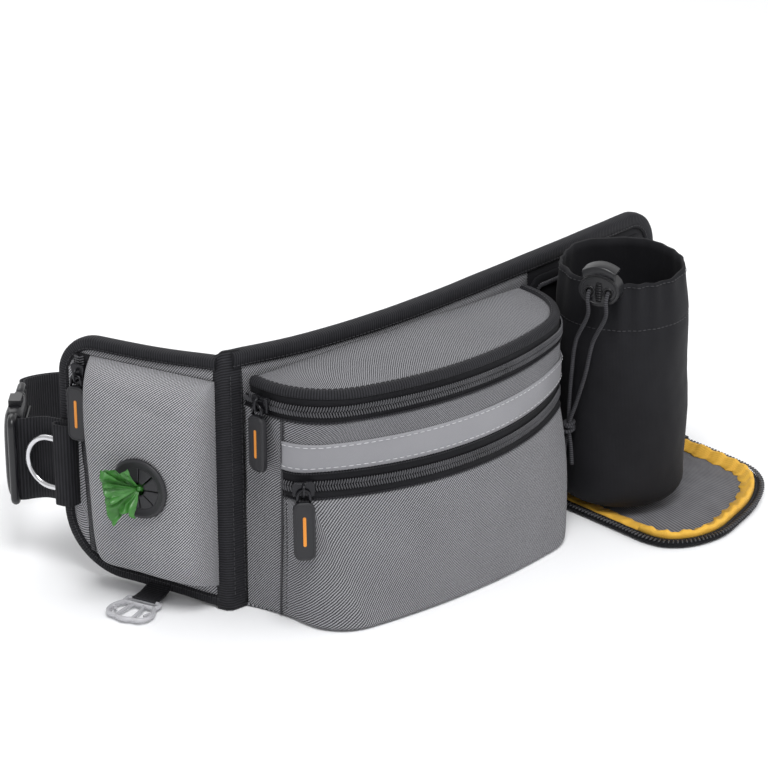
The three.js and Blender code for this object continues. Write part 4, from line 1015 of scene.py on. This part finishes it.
def make_grommet():
    """A rubber ring whose middle is cut into eight petals."""
    profile = [
        (12.3, -1.2), (12.5, 0.3), (17.2, 0.3), (17.6, 1.1), (17.3, 2.1), (16.4, 2.8), (15.4, 2.6),
        (14.6, 1.7), (12.6, 1.4), (11.8, 1.0), (11.8, -0.8),
    ]
    parts = [lathe(RUBBER, profile, on_dispenser, 72)]
    for start in turns(8):
        def both(r, t):
            slit = math.asin(0.42 / r)
            a = start + slit + (math.pi / 4 - 2 * slit) * t
            lift = 1.1 + 1.3 * ((12.4 - r) / 8.5) ** 2
            return [on_dispenser(r * math.cos(a), r * math.sin(a), h) for h in (lift, lift - 1.3)]

        parts.append(sheet(RUBBER, spread(3.9, 12.4, 7), spread(0, 1, 8), both))
    piece("dispenser_rubber", parts, "bag", "rubber", "dispenser_grommet")


def film(low, high, reach, pleats, lift, seed):
    """A fan of thin film that is gathered at the slit and opens outwards."""
    def both(t, degrees):
        a, fan = math.radians(degrees), (degrees - low) / (high - low)
        r = 1.2 + reach * (0.82 + 0.18 * math.sin(5.3 * fan + seed)) * t
        fold = 2.6 * t * abs(math.sin(pleats * math.pi * fan + seed))
        fold += ripple((r * 3, fan * 60, seed), 11, 2.2) * t
        sway = ripple((fan * 40, r * 2, seed + 7), 9, 1.6) * t
        height = 1 + (lift - 1) * t**0.7 + fold
        p = on_dispenser(r * math.cos(a) + sway, r * math.sin(a) + sway * 0.7, height)
        return p, p - NORMAL * 0.3

    return sheet(FILM, spread(0, 1, 22), spread(low, high, 44), both)


def make_bag_tail():
    parts = [film(12, 84, 18.5, 1.6, 9, 0.6), film(-66, 36, 20, 4.2, 12, 1.9),
             film(-100, -22, 15.5, 3.4, 10, 3.1), film(-30, 40, 12.5, 2.6, 15, 4.4)]
    stem = [[on_dispenser(r * (1 + 0.12 * (i % 2)) * math.cos(a), r * math.sin(a), h)
             for i, a in enumerate(turns(16))] for h, r in ((-6, 2.4), (-1, 2.4), (1.4, 1.5), (2.6, 0.9))]
    parts.append(sweep(FILM, stem))
    piece("bag_tail_film", parts, "bag", "green_film", "waste_bag_tail")


def make_roll():
    at = on_wing(46, 44, 9.8)
    profile = [(4.3, 0), (7.9, 0), (8.3, 0.8)]
    profile += [(8.35 + 0.06 * math.sin(1.9 * h), h) for h in spread(2, 58, 28)]
    profile += [(8.3, 59.2), (7.9, 60), (4.3, 60)]
    roll = lathe(FILM, profile, lambda x, y, h: at + (x, y, h), 56)
    piece("bag_roll_film", roll, "bag_roll", "green_film", "waste_bag_roll")
    softened("roll_core", "roll_core_card", CARD, "bag_roll", "card", 0.2)


def round_edges(obj, width, segments, degrees):
    edges = obj.modifiers.new("edges", "BEVEL")
    edges.width = width * MM
    edges.segments = segments
    edges.limit_method = "ANGLE"
    edges.angle_limit = math.radians(degrees)
    obj.modifiers.new("even", "WEIGHTED_NORMAL").keep_sharp = False
    apply_modifiers(obj)
    return obj


def softened(node, name, material, body, slot, bevel, segments=3):
    """A finer copy of a moulded CAD piece: flat faces joined up and sharp edges rounded."""
    obj = bpy.data.objects.new(name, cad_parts[node].data.copy())
    bpy.context.scene.collection.objects.link(obj)
    work = bmesh.new()
    work.from_mesh(obj.data)
    bmesh.ops.remove_doubles(work, verts=work.verts, dist=1e-5)
    bmesh.ops.dissolve_limit(work, angle_limit=math.radians(2), verts=work.verts, edges=work.edges)
    work.to_mesh(obj.data)
    work.free()
    obj.data.polygons.foreach_set("use_smooth", [True] * len(obj.data.polygons))
    round_edges(obj, bevel, segments, 32)
    obj.data.materials.clear()
    obj.data.materials.append(material)
    piece(name, obj, body, slot, node)


def slab(material, outline, low, high, place, bevel):
    """A plate with rounded edges from an outline in local x, y."""
    count = len(outline)
    points = [place(x, y, low) for x, y in outline] + [place(x, y, high) for x, y in outline]
    faces = [tuple(range(count)), tuple(count + i for i in range(count))]
    faces += [(i, (i + 1) % count, count + (i + 1) % count, count + i) for i in range(count)]
    return round_edges(outward(add_object(material, points, faces)), bevel, 4, 40)


# ---- zip sliders and pulls ----

RING_PLANE = 0.9 + 1.8 + 1.3
PULL_WIDTH, PULL_LENGTH, PULL_THICK, PULL_LEG, PULL_LOOP, PULL_WIRE = 12, 32.5, 3.6, 6, 3.4, 0.8


def round_corners(left, right, low, high, radius, steps):
    """A rectangle's rounded outline, from its upper left corner round to its upper right."""
    corners = ((left + radius, high - radius), (left + radius, low + radius),
               (right - radius, low + radius), (right - radius, high - radius))
    return [p for i, (x, y) in enumerate(corners)
            for p in arc(x, y, radius, (i + 1) * math.pi / 2, (i + 2) * math.pi / 2, steps)]


def rounded_box(width, low, high, radius):
    return round_corners(-width / 2, width / 2, low, high, radius, 8)


def make_slider(prefix, origin, tangent, out, upright=False, lean=0.0):
    """A slider on its zip, and the rubber pull that hangs from its bail."""
    def at(x, y, z):
        return origin + tangent * x + UP * y + out * z

    def run(a, b, h):
        return at(b, a, h) if upright else at(a, b, h)

    half = [(-6, -3.4), (-5, -4.1), (0, -3.6), (4.6, -4.5), (6, -3.6), (6.4, 0)]
    parts = [slab(ENAMEL, half + [(a, -b) for a, b in half[-2::-1]], 0.9, 2.7, run, 0.45)]
    wing = [(-5.4, 3.3), (-5, 4.2), (0, 3.7), (4.6, 4.6), (5.6, 3.6), (4, 3.5), (0, 3.1), (-4, 3.2)]
    for side in (-1, 1):
        parts.append(slab(ENAMEL, [(a, side * b) for a, b in wing], -0.7, 1.6, run, 0.3))
    bail = [(-3.2, 2.4), (-3.3, 4.2), (-2.6, 5.5), (-1, 5.9), (1, 5.9), (2.6, 5.5), (3.3, 4.2), (3.2, 2.4)]
    parts.append(tube(ENAMEL, [at(0, y, z) for y, z in bail], 0.75, 10))
    piece(prefix + "_slider_cast", parts, prefix + "_slider", "dark_metal", prefix + "_slider")

    def hang(x, y, z):
        turned_y = y * math.cos(lean) + z * math.sin(lean)
        return at(x, turned_y, z * math.cos(lean) - y * math.sin(lean) + RING_PLANE)

    foot = -PULL_LEG - 0.4
    loop = [(-PULL_LOOP, foot), *arc(0, -PULL_LOOP, PULL_LOOP, math.pi, 0, 16), (PULL_LOOP, foot)]
    ring = tube(ENAMEL, [hang(x, y, 0) for x, y in loop], PULL_WIRE)
    piece(prefix + "_pull_wire", ring, prefix + "_pull", "dark_metal", prefix + "_pull_ring")
    top, face = -PULL_LEG - 0.3, PULL_THICK / 2
    lip = rounded_box(PULL_WIDTH - 2.2, top - PULL_LENGTH + 1.1, top - 1.1, 3.4)
    parts = [slab(RUBBER, rounded_box(PULL_WIDTH, top - PULL_LENGTH, top, 4.4), -face, face, hang, 0.9),
             tube(RUBBER, [hang(x, y, face - 0.1) for x, y in lip], 0.38, 8, closed=True),
             slab(ORANGE, rounded_box(1.8, top - PULL_LENGTH + 8, top - 8, 0.85), face - 0.2, face + 0.22,
                  hang, 0.15)]
    piece(prefix + "_pull_rubber", parts, prefix + "_pull", "rubber", prefix + "_pull_tab")


def on_round(x, y, z, radius, degrees):
    """Where a slider sits on a round of the pouch: its origin, its way along and its way out."""
    a = math.radians(degrees)
    out = np.array([math.cos(a), math.sin(a), 0])
    return np.array([x, y, z]) + out * radius, np.array([-out[1], out[0], 0]), out


def make_sliders():
    _, corner, _, _, corner_x, corner_y = pouch_plan(TOP_ZIP_MID)
    make_slider("top", *on_round(-corner_x, corner_y, TOP_ZIP_MID, corner + 1.6, 182))
    mid = (POCKET_TOP + FRONT_ZIP_TOP) / 2
    _, _, radius, arc_y, _, _ = pouch_plan(mid)
    make_slider("front", *on_round(0, arc_y, mid, radius + 2.0, 270 - 36), lean=math.radians(9))
    make_slider("bag", on_wing(zip_station(126), 126, 3.4), ALONG, NORMAL, upright=True)


# ---- bottle sleeve, cord lock and drawcord ----

SLEEVE_BOTTOM, SLEEVE_TOP, SLEEVE_ROUND = 7, 153, 13
SLEEVE_RADIUS, SLEEVE_WALL, HEM_Z = 38.7, 1.4, 124


def sleeve_radius(z, a, inner):
    h = (z - SLEEVE_BOTTOM) / (SLEEVE_TOP - SLEEVE_BOTTOM)
    radius = SLEEVE_RADIUS - 2.0 * max(0, (h - 0.72) / 0.28) ** 1.6 + 0.5 * math.sin(math.pi * h)
    if z < SLEEVE_BOTTOM + SLEEVE_ROUND:
        drop = SLEEVE_BOTTOM + SLEEVE_ROUND - z
        radius -= SLEEVE_ROUND - math.sqrt(max(SLEEVE_ROUND**2 - drop**2, 0))
    near_lock = math.exp(-((math.remainder(a - LOCK_ANGLE, 2 * math.pi) / 0.9) ** 2))
    gather = max(0, (h - 0.7) / 0.3)
    pleat = (0.35 + 0.9 * near_lock) * gather * math.sin(17 * a + 2 * math.sin(3 * a))
    slack = ripple((60 * math.cos(a), 60 * math.sin(a), z), 44, 1.5)
    slack += ripple((70 * math.cos(a), 70 * math.sin(a), z * 1.5), 15, 0.35)
    channel = -0.55 * math.exp(-(((z - HEM_Z) / 1.3) ** 2))
    return radius + pleat + slack * min(1, (z - SLEEVE_BOTTOM) / 14) + channel - inner


def sleeve_axis(z):
    h = (z - SLEEVE_BOTTOM) / (SLEEVE_TOP - SLEEVE_BOTTOM)
    return 151.6 - 3.0 * h, -5.6 + 0.6 * h


def sleeve_point(z, a, inner):
    """A point of the sleeve's wall, moved inwards."""
    (x, y), r = sleeve_axis(z), sleeve_radius(z, a, inner)
    return x + r * math.cos(a), y + r * math.sin(a), z


def sleeve_ring(a):
    """The sleeve's section at an angle: its floor, up its outside and down its inside."""
    top = SLEEVE_TOP + 1.2 * math.sin(a + 0.6) + 0.5 * math.sin(5 * a)
    x, y = sleeve_axis(SLEEVE_BOTTOM)
    flat = SLEEVE_RADIUS - SLEEVE_ROUND
    ring = [(x + r * math.cos(a), y + r * math.sin(a), SLEEVE_BOTTOM - 0.1 * r / flat)
            for r in spread(0.4, flat, 6)[:-1]]
    rounding = [SLEEVE_BOTTOM + v for v in (0, 0.3, 1.1, 2.4, 4.2, 6.5, 9.4, 13)]
    ring += [sleeve_point(z, a, 0) for z in [*rounding, *spread(24, top, 40)]]
    rounding = [SLEEVE_BOTTOM + v for v in (13, 9.4, 6.5, 4.2, 2.6, 1.6)]
    ring += [sleeve_point(z, a, SLEEVE_WALL) for z in [*spread(top - 0.4, 24, 24), *rounding]]
    return ring + [(x + r * math.cos(a), y + r * math.sin(a), SLEEVE_BOTTOM + SLEEVE_WALL)
                   for r in spread(flat, 0.4, 6)[1:]]


def make_sleeve():
    parts = [sweep(BLACK_NYLON, [sleeve_ring(a) for a in turns(150)], closed=True)]
    for z in (HEM_Z, SLEEVE_TOP - 3):
        x, y = sleeve_axis(z)
        hem = [sleeve_point(z, a, -0.25) for a in turns(150)]
        parts.append(stitch_row(DARK_THREAD, hem, lambda p: (p[0] - x, p[1] - y, 0)))
    whole = piece("bottle_sleeve_cloth", parts, "bag", "black_fabric", "bottle_sleeve")
    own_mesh(whole)
    softened("sleeve_gusset", "sleeve_web_cloth", BLACK_NYLON, "bag", "black_fabric", 0.8)


def on_lock(x, y, z):
    base = np.array([*SLEEVE_AT, LOCK_Z]) + LOCK_OUT * LOCK_REACH
    return base + LOCK_ALONG * x + LOCK_OUT * z + UP * y


LOCK_EYE, CAP_HALF, CAP_UNDER, CAP_BOW = 5.6, 9.8, 13.6, 3.2


def lock_loop(x, y, wide, high, z, radius, steps):
    """A thin raised rim, round or oval, on the cord lock's front."""
    line = [on_lock(x + wide * math.cos(a), y + high * math.sin(a), z) for a in turns(steps)]
    return tube(BLACK_PLASTIC, line, radius, 8, closed=True)


def make_cord_lock():
    softened("cord_lock_body", "cord_lock_shell", BLACK_PLASTIC, "cord_lock", "black_plastic", 1.3, 4)
    trim = [lock_loop(x, -1, 3.0, 3.0, 10.1, 0.55, 28) for x in (-LOCK_EYE, LOCK_EYE)]
    bars = [(on_lock(0, y, 10.1), LOCK_ALONG, UP, LOCK_OUT) for y in spread(-5.5, 3.5, 6)]
    trim.append(blocks(BLACK_PLASTIC, bars, (3.2, 0.8, 0.9)))
    window = [(on_lock(0, -1, 10.05), LOCK_ALONG, UP, LOCK_OUT)]
    trim.append(blocks(DEEP_BLACK, window, (4.4, 12, 0.3)))
    trim.append(lock_loop(0, 0, 10.6, 8.2, 9.7, 0.6, 60))
    piece("cord_lock_trim", trim, "cord_lock", "black_plastic")
    make_lock_cap()
    repaint("cord_lock_spring", CHROME)


def make_lock_cap():
    """The lock's button: a bowed cap with a lip in front, on a stem that goes down into the bore."""
    section = [(0, 1.4), (0, 10.7), (-3.6, 10.7), (-3.9, 11.2), (-3.3, 11.8), (0.6, 11.8), (1.3, 11.2),
               (1.5, 10.2), (1.5, 1.8), (1.1, 1.2), (0.3, 1.1)]
    rings = []
    for x in spread(-CAP_HALF, CAP_HALF, 24):
        low = CAP_UNDER - CAP_BOW * (x / CAP_HALF) ** 2
        rings.append([on_lock(x, low + y, z) for y, z in section])
    stem = slab(BLACK_PLASTIC, [(-2, -2), (2, -2), (2, 14), (-2, 14)], 2.3, 7.7, on_lock, 0.3)
    parts = [sweep(BLACK_PLASTIC, rings), stem]
    piece("cord_lock_cap", parts, "cord_lock_button", "black_plastic", "cord_lock_button")


def cord_points(side):
    start = LOCK_EYE * side
    turn = np.array([-0.55, -0.83, 0]) * 1.3 * side

    def apart(x, y, z, half):
        return np.array([x, y, z]) + LOCK_ALONG * side * half

    route = [
        on_lock(start, -1, 7), on_lock(start, -1, 11), on_lock(start * 0.96, -5, 13.4),
        on_lock(start * 0.94, -14, 12.2), apart(104.6, -18.6, 118, 5), apart(104.6, -14.8, 98, 4.2),
        apart(105.1, -10.4, 78, 2.2), KNOT + turn, KNOT + turn + (0, 0, -6),
        KNOT + (-0.8, -0.6 - 2.2 * side, -14), KNOT + (-1.6, -1.4 - 3.4 * side, -25),
    ]
    return smooth_curve(route, 12)


def make_drawcord():
    knot = make_knot()
    for name, side in (("drawcord_left", -1), ("drawcord_right", 1)):
        points = cord_points(side)
        braid = piece(name + "_braid", tube(CORD_BRAID, points, CORD_RADIUS), "bag", "cord", name)
        path = [tuple(p * MM) for p in points]
        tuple(path[0])
        Line(points).length * MM
        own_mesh(braid)


def make_knot():
    """An overhand knot: the cord passes round both strands and back under itself."""
    loops = []
    for lift, turn, tilt in ((-1.6, 0.0, 0.5), (0.7, 1.6, -0.5), (2.6, 3.1, 0.35)):
        line = []
        for a in turns(26):
            x, y = 2.9 * math.cos(a + turn), 2.5 * math.sin(a + turn)
            line.append(KNOT + (x, y, lift - 3 + tilt * x * 0.5))
        loops.append(tube(CORD_BRAID, line, CORD_RADIUS, 10, closed=True))
    knot = piece("drawcord_knot_braid", loops, "bag", "cord", "drawcord_knot")
    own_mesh(knot)
    return knot


# ---- stow flap and the zip that closes it ----


def flap_path(distance):
    """The open flap's outline from its hinge's left end to the right one, moved inwards."""
    line = Line(smooth_curve(FLAP_OUTLINE, 14)[:, :2])
    path = np.array([line.point(s) for s in spread(0, line.length, 330)])
    return path + inward(path) * distance


def lining_section(x, y, s, low):
    """The puckered lining rim's section at a point of the flap's edge, s along it."""
    crest = min(7.6, 4.0 + max(0, 42 - y) * 0.1)
    if x < 130 and y > -50:
        crest = 4.2
    wave = math.sin(s / 2.1 + 1.1 * math.sin(s / 13)) + 0.35 * math.sin(s / 0.95 + 1)
    wave *= min(1, 0.45 + (crest - 4) / 2)
    top, foot = crest + 0.5 * wave, 13 + 0.8 * wave
    section = [(4.4, 2.6), (4.6, top - 0.8), (5.4, top), (7, top - 0.2 + 0.3 * wave), (9.5, 3.9 + 0.4 * wave),
               (foot, 3.3), (foot, 2.5), (9.5, 2.3), (7, 2.2)]
    return [(q, low + h) for q, h in section]


def make_flap():
    low = 0.6
    edge = flap_path(0)
    shoulder = ((0, 0.3), (-0.2, 1.6), (0.6, 2.6), (2.6, 3.0), (5.4, 3.0), (5.6, 0.2))
    tape = sweep(ZIP_TAPE, moulding(edge, [[(q, low + h) for q, h in shoulder]] * len(edge)))
    coil = teeth(COIL, beside(edge, 1.4, low + 3.1), lambda p: UP, -1, pitch=2.5, lean=-0.15)
    piping = tube(BLACK_RIB, beside(edge, 3.6, low + 3.0), 0.7, 8)
    piece("flap_zip_coil", [tape, coil, piping], "stow_flap", "black_tape", "flap_zip")
    sections = [lining_section(x, y, s, low) for (x, y), s in zip(edge, Line(edge).at)]
    rim = sweep(YELLOW_CLOTH, moulding(edge, sections))
    piece("flap_lining_cloth", rim, "stow_flap", "yellow_lining", "flap_lining_rim")

    inner = flap_path(7.6)
    line = Line(inner)
    left, right = np.array([116, 36.0]), np.array([237, 49.5])

    def both(t, place):
        p, share = place
        x, y = p + (left + (right - left) * share - p) * t
        return (x, y, low + 2.4 + ripple((x, y, 6), 26, 0.7)), (x, y, low)

    panel = sheet(FLAP_CLOTH, spread(0, 1, 26), list(zip(inner, line.at / line.length)), both)
    piece("flap_cloth_panel", panel, "stow_flap", "grey_fabric", "flap_panel")
    softened("stow_slider", "stow_slider_cast", ENAMEL, "stow_slider", "dark_metal", 0.5)


def make_wing_zip():
    start, stop = back_station(DIVIDER_X + 1), BACK.length - BINDING - 1.5
    low, high, turn = 28, 136, 10
    path = [(stop, z) for z in spread(low, high - turn, 24)[:-1]]
    path += arc(stop - turn, high - turn, turn, 0, math.pi / 2, 8)
    path += [(s, high) for s in spread(stop - turn, start + turn, 24)[1:-1]]
    path += arc(start + turn, high - turn, turn, math.pi / 2, math.pi, 8)
    path += [(start, z) for z in spread(high - turn, low, 24)[1:]]
    section = [(0, 0.3), (0, 1.3), (0.6, 1.6), (5.6, 1.6), (6, 1.3), (6, 0.3)]
    rings = [[on_back(*p) for p in ring] for ring in moulding(np.array(path), [section] * len(path))]
    line = [on_back(*p) for p in beside(path, 4.4, 1.4)]
    parts = [sweep(ZIP_TAPE, rings), teeth(COIL, line, back_normal, 1, pitch=1.8)]
    piece("wing_zip_coil", parts, "bag", "black_tape", "wing_zip")


# ---- belt: tab, ring, buckle and strap ----

BUCKLE_AT = np.array([-169.1, 161.2, 66])
BUCKLE_ALONG = np.array([0.67, 0.742, 0]) / math.hypot(0.67, 0.742)
BUCKLE_ACROSS = np.array([BUCKLE_ALONG[1], -BUCKLE_ALONG[0], 0])
RING_S, RING_Z, RING_DEPTH, RING_WIRE, RING_REACH, RING_HALF = 105, BELT_Z - 0.5, 7.2, 1.8, 21, 14.9


def on_buckle(a, t, z):
    return BUCKLE_AT + BUCKLE_ALONG * a + BUCKLE_ACROSS * t + UP * z


def webbing(name, node, route, offset, share, steps):
    """Webbing standing on edge along the first share of its route."""
    line = Line(smooth_curve(route, 30))
    thick = 1.6

    def both(w, s):
        p, t = line.point(s), line.tangent(s)
        side = np.array([-t[1], t[0], 0]) / math.hypot(t[0], t[1])
        soft = 0.35 * (1 - abs(w) ** 6) + ripple((s, w * 20, 8), 40, 0.4)
        p = p + UP * w * WEBBING / 2
        return p + side * (offset + thick - 0.3 + soft), p + side * (offset + 0.3 - soft * 0.4)

    strip = sheet(WEBBING_RIB, spread(-1, 1, 10), spread(0, share * line.length, steps), both)
    piece(name, strip, "bag", "black_tape", node)


def make_belt():
    route = [on_wing(96, BELT_Z, 3.4), on_wing(108, BELT_Z, 3.4), on_wing(118, BELT_Z - 1, 2.6),
             on_buckle(0.2, 11, 1), on_buckle(0.2, 5, 0), on_buckle(0.2, 0, 0)]
    webbing("belt_tab_webbing", "belt_tab", route, -1.6, 1, 60)
    route = [
        on_buckle(52.8, 0, 0), on_buckle(60, -1, -1), (-105, 213, 60), (-30, 205, 44), (60, 189, 36),
        (150, 168, 36), (225, 136, 42), (260, 108, 54), (265, 84, 61), (254, 70.5, 65),
        on_back(BACK.length - 18, 66, -PANEL_THICK - PROUD - 2.6),
    ]
    webbing("waist_webbing", "waist_strap", route, 0.2, 1, 260)
    webbing("free_end_webbing", "strap_free_end", route, -1.8, 0.42, 120)
    make_ring()
    make_buckle()


BUCKLE_HALF, BUCKLE_THICK = 27.5, 6.5


def squared(value, size):
    """Pulls a circle's cosine or sine out towards a square's."""
    return size * math.copysign(abs(value) ** 0.55, value)


def shell(rows):
    """A skin over rounded rectangles across the buckle, each at (distance, half width, half depth)."""
    return sweep(BLACK_PLASTIC, [[on_buckle(a, squared(math.cos(t), thick), squared(math.sin(t), half))
                                  for t in turns(44)] for a, half, thick in rows])


def make_buckle():
    """Two moulded halves: a frame for the webbing on each, and a hollow body for the latch arms."""
    h, t = BUCKLE_HALF, BUCKLE_THICK
    outer = [(4.2, h - 3, t - 3), (5, h - 1.2, t - 1.6), (7, h - 0.4, t - 0.6), (12, h, t), (22, h - 0.8, t),
             (29, h - 0.2, t - 0.3), (32.4, h - 0.4, t - 0.9), (33, h - 1.2, t - 1.6)]
    inner = [(32.2, h - 3, t - 2.2), (26, h - 3, t - 2), (12, h - 3, t - 2), (9, h - 4, t - 2.6)]
    female = [shell(outer + inner), webbing_frame(-3.2, 6)]
    for z in (-1, 1):
        ribs = [on_buckle(a, t + 0.1, z * (h - 7)) for a in spread(10, 29, 12)]
        female.append(tube(BLACK_PLASTIC, ribs, 0.7, 8))
    piece("buckle_female_moulding", female, "bag", "black_plastic", "buckle_female")
    outer = [(33.6, h - 1.4, t - 2), (34.2, h - 1, t - 1.6), (37, h - 1, t - 1.5), (38.5, h - 2, t - 2.4)]
    bar = [on_buckle(43.5, 0, z) for z in spread(-h + 2, h - 2, 12)]
    guide = [(10, 4.4, 1.8), (11, 5, 2.4), (30, 5, 2.4), (34, 5.4, 2.6)]
    male = [shell(outer), webbing_frame(36.5, 50.5), tube(BLACK_PLASTIC, bar, 1.8), shell(guide)]
    piece("buckle_male_moulding", male, "bag", "black_plastic", "buckle_male")
    for node in ("buckle_arm_upper", "buckle_arm_lower"):
        softened(node, node + "_moulding", BLACK_PLASTIC, node, "black_plastic", 1.0, 4)


def webbing_frame(start, end):
    """The loop of a buckle half that the webbing is threaded through."""
    h = BUCKLE_HALF - 2.4
    line = [on_buckle(a, 0, z) for a, z in round_corners(start, end, -h, h, 4, 6)]
    return tube(BLACK_PLASTIC, line, 2.5, closed=True)


def make_ring():
    shape = [(0, z) for z in spread(-RING_HALF + 3, RING_HALF - 3, 8)]
    shape += arc(3, RING_HALF - 3, 3, math.pi, math.pi / 2, 6)[1:]
    shape += arc(RING_REACH - RING_HALF, 0, RING_HALF, math.pi / 2, -math.pi / 2, 36)
    shape += arc(3, -RING_HALF + 3, 3, -math.pi / 2, -math.pi, 6)[:-1]
    line = [on_wing(RING_S + x, RING_Z + z, RING_DEPTH) for x, z in shape]
    piece("belt_ring_wire", tube(CHROME, line, RING_WIRE, 20, closed=True), "d_ring", "chrome", "d_ring")
    outer = RING_WIRE + 1.3
    wrap = [(97.5, RING_DEPTH - outer), (100, RING_DEPTH - outer)]
    wrap += arc(RING_S, RING_DEPTH, outer, -math.pi / 2, math.pi / 2, 14)
    wrap += [(102, RING_DEPTH + outer - 0.1), (99, RING_DEPTH + outer - 0.5), (96.8, RING_DEPTH + 1.2),
             (95.6, RING_DEPTH - 2.4), (95.2, 0.8)]
    middle = np.array([RING_S - 3.5, RING_DEPTH - 1.4])

    def both(z, p):
        inner = p + (middle - p) * 0.22
        return on_wing(p[0], z, p[1]), on_wing(inner[0], z, inner[1])

    loop = sheet(WEBBING_RIB, spread(BELT_Z - 24.6, BELT_Z + 24.6, 12), np.array(wrap), both)
    piece("ring_loop_webbing", loop, "bag", "black_tape", "d_ring_loop")


# ---- pale clip on its tab ----


def on_clip(x, d, z=2.6):
    return on_wing(45 + x, z, d)


def make_clip():
    route = [(-3.5, 7), (-0.5, 6.2), (2.4, 4.6), (6, 3.4), (10, 2.8), (14, 2.7), (17.4, 3.0), (18.4, 3.6)]
    tab = sheet(BLACK_RIB, spread(-7.5, 7.5, 8), route,
                lambda x, p: [on_clip(x, p[0], p[1] + lift) for lift in (1.0, -0.4)])
    piece("clip_tab_tape", tab, "clip", "black_tape", "clip_tab")
    body = [on_clip(x, y) for x, y in rounded_box(21, 17, 22.4, 1.6)]
    parts = [tube(PALE_PLASTIC, body, 1.25, 10, closed=True)]
    bars = [([(9, 22), (11.6, 26), (13, 31), (12.2, 35.6), (9, 38.6), (5, 38.8)], 1.35),
            ([(3, 22), (4.2, 27), (4.8, 33), (5, 38.8)], 1.05), ([(13, 31), (10.6, 30), (9.6, 33)], 0.9)]
    bars = [([(side * x, y) for x, y in points], radius) for side in (-1, 1) for points, radius in bars]
    for points, radius in [*bars, ([(-5, 38.8), (-2, 40.2), (2, 40.2), (5, 38.8)], 1.35)]:
        parts.append(tube(PALE_PLASTIC, [on_clip(x, y) for x, y in smooth_curve(points, 8)], radius, 10))
    piece("pale_clip", parts, "clip", "light_plastic", "mini_clip")


# ---- camera, light and floor ----


def make_camera():
    data = bpy.data.cameras.new("camera")
    data.lens = 135
    data.sensor_width = 36
    camera = bpy.data.objects.new("camera", data)
    right, back = Vector((0.7431, -0.6691, 0)), Vector((-0.6159, -0.6841, 0.3907))
    up = back.cross(right)
    turn = Matrix((right, up, back)).transposed().to_4x4()
    camera.matrix_world = Matrix.Translation((-1.00409, -1.07830, 0.74074)) @ turn
    bpy.context.scene.collection.objects.link(camera)
    bpy.context.scene.camera = camera


def make_light(name, place, size, watts):
    data = bpy.data.lights.new(name, "AREA")
    data.size = size
    data.energy = watts
    light = bpy.data.objects.new(name, data)
    light.location = place
    light.rotation_euler = (-Vector(place)).to_track_quat("-Z", "Y").to_euler()
    bpy.context.scene.collection.objects.link(light)


def make_stage():
    floor = CAD_BOX[0][2] - 0.0003
    size = 12
    corners = [(-size, -size, floor), (size, -size, floor), (size, size, floor), (-size, size, floor)]
    mesh = bpy.data.meshes.new("floor")
    mesh.from_pydata(corners, [], [(0, 1, 2, 3)])
    obj = bpy.data.objects.new("floor", mesh)
    bpy.context.scene.collection.objects.link(obj)
    paint = Paint("pale_floor", roughness=0.75)
    paint.shader.inputs["Base Color"].default_value = (0.96, 0.965, 0.98, 1)
    obj.data.materials.append(paint.material)
    world = bpy.data.worlds.new("studio")
    world.use_nodes = True
    sky = world.node_tree.nodes["Background"]
    sky.inputs["Color"].default_value = (1, 1, 1, 1)
    sky.inputs["Strength"].default_value = 0.66
    bpy.context.scene.world = world
    bpy.context.scene.view_settings.view_transform = "Standard"
    make_light("key", (-0.5, -0.7, 1.7), 0.7, 20)
    make_light("fill", (0.9, -1.2, 1.2), 1.2, 7)
    make_light("rear", (0.3, 1.4, 1.3), 1.2, 8)


make_camera()
make_stage()
make_drawcord()
make_back()
make_left_wing()
make_pouch()
make_lid()
make_bag_pocket()
make_grommet()
make_bag_tail()
make_roll()
softened("grommet_backing", "grommet_backing_ring", RUBBER, "bag", "rubber", 0.3)
make_sliders()
make_sleeve()
make_cord_lock()
make_flap()
make_wing_zip()
make_belt()
make_clip()
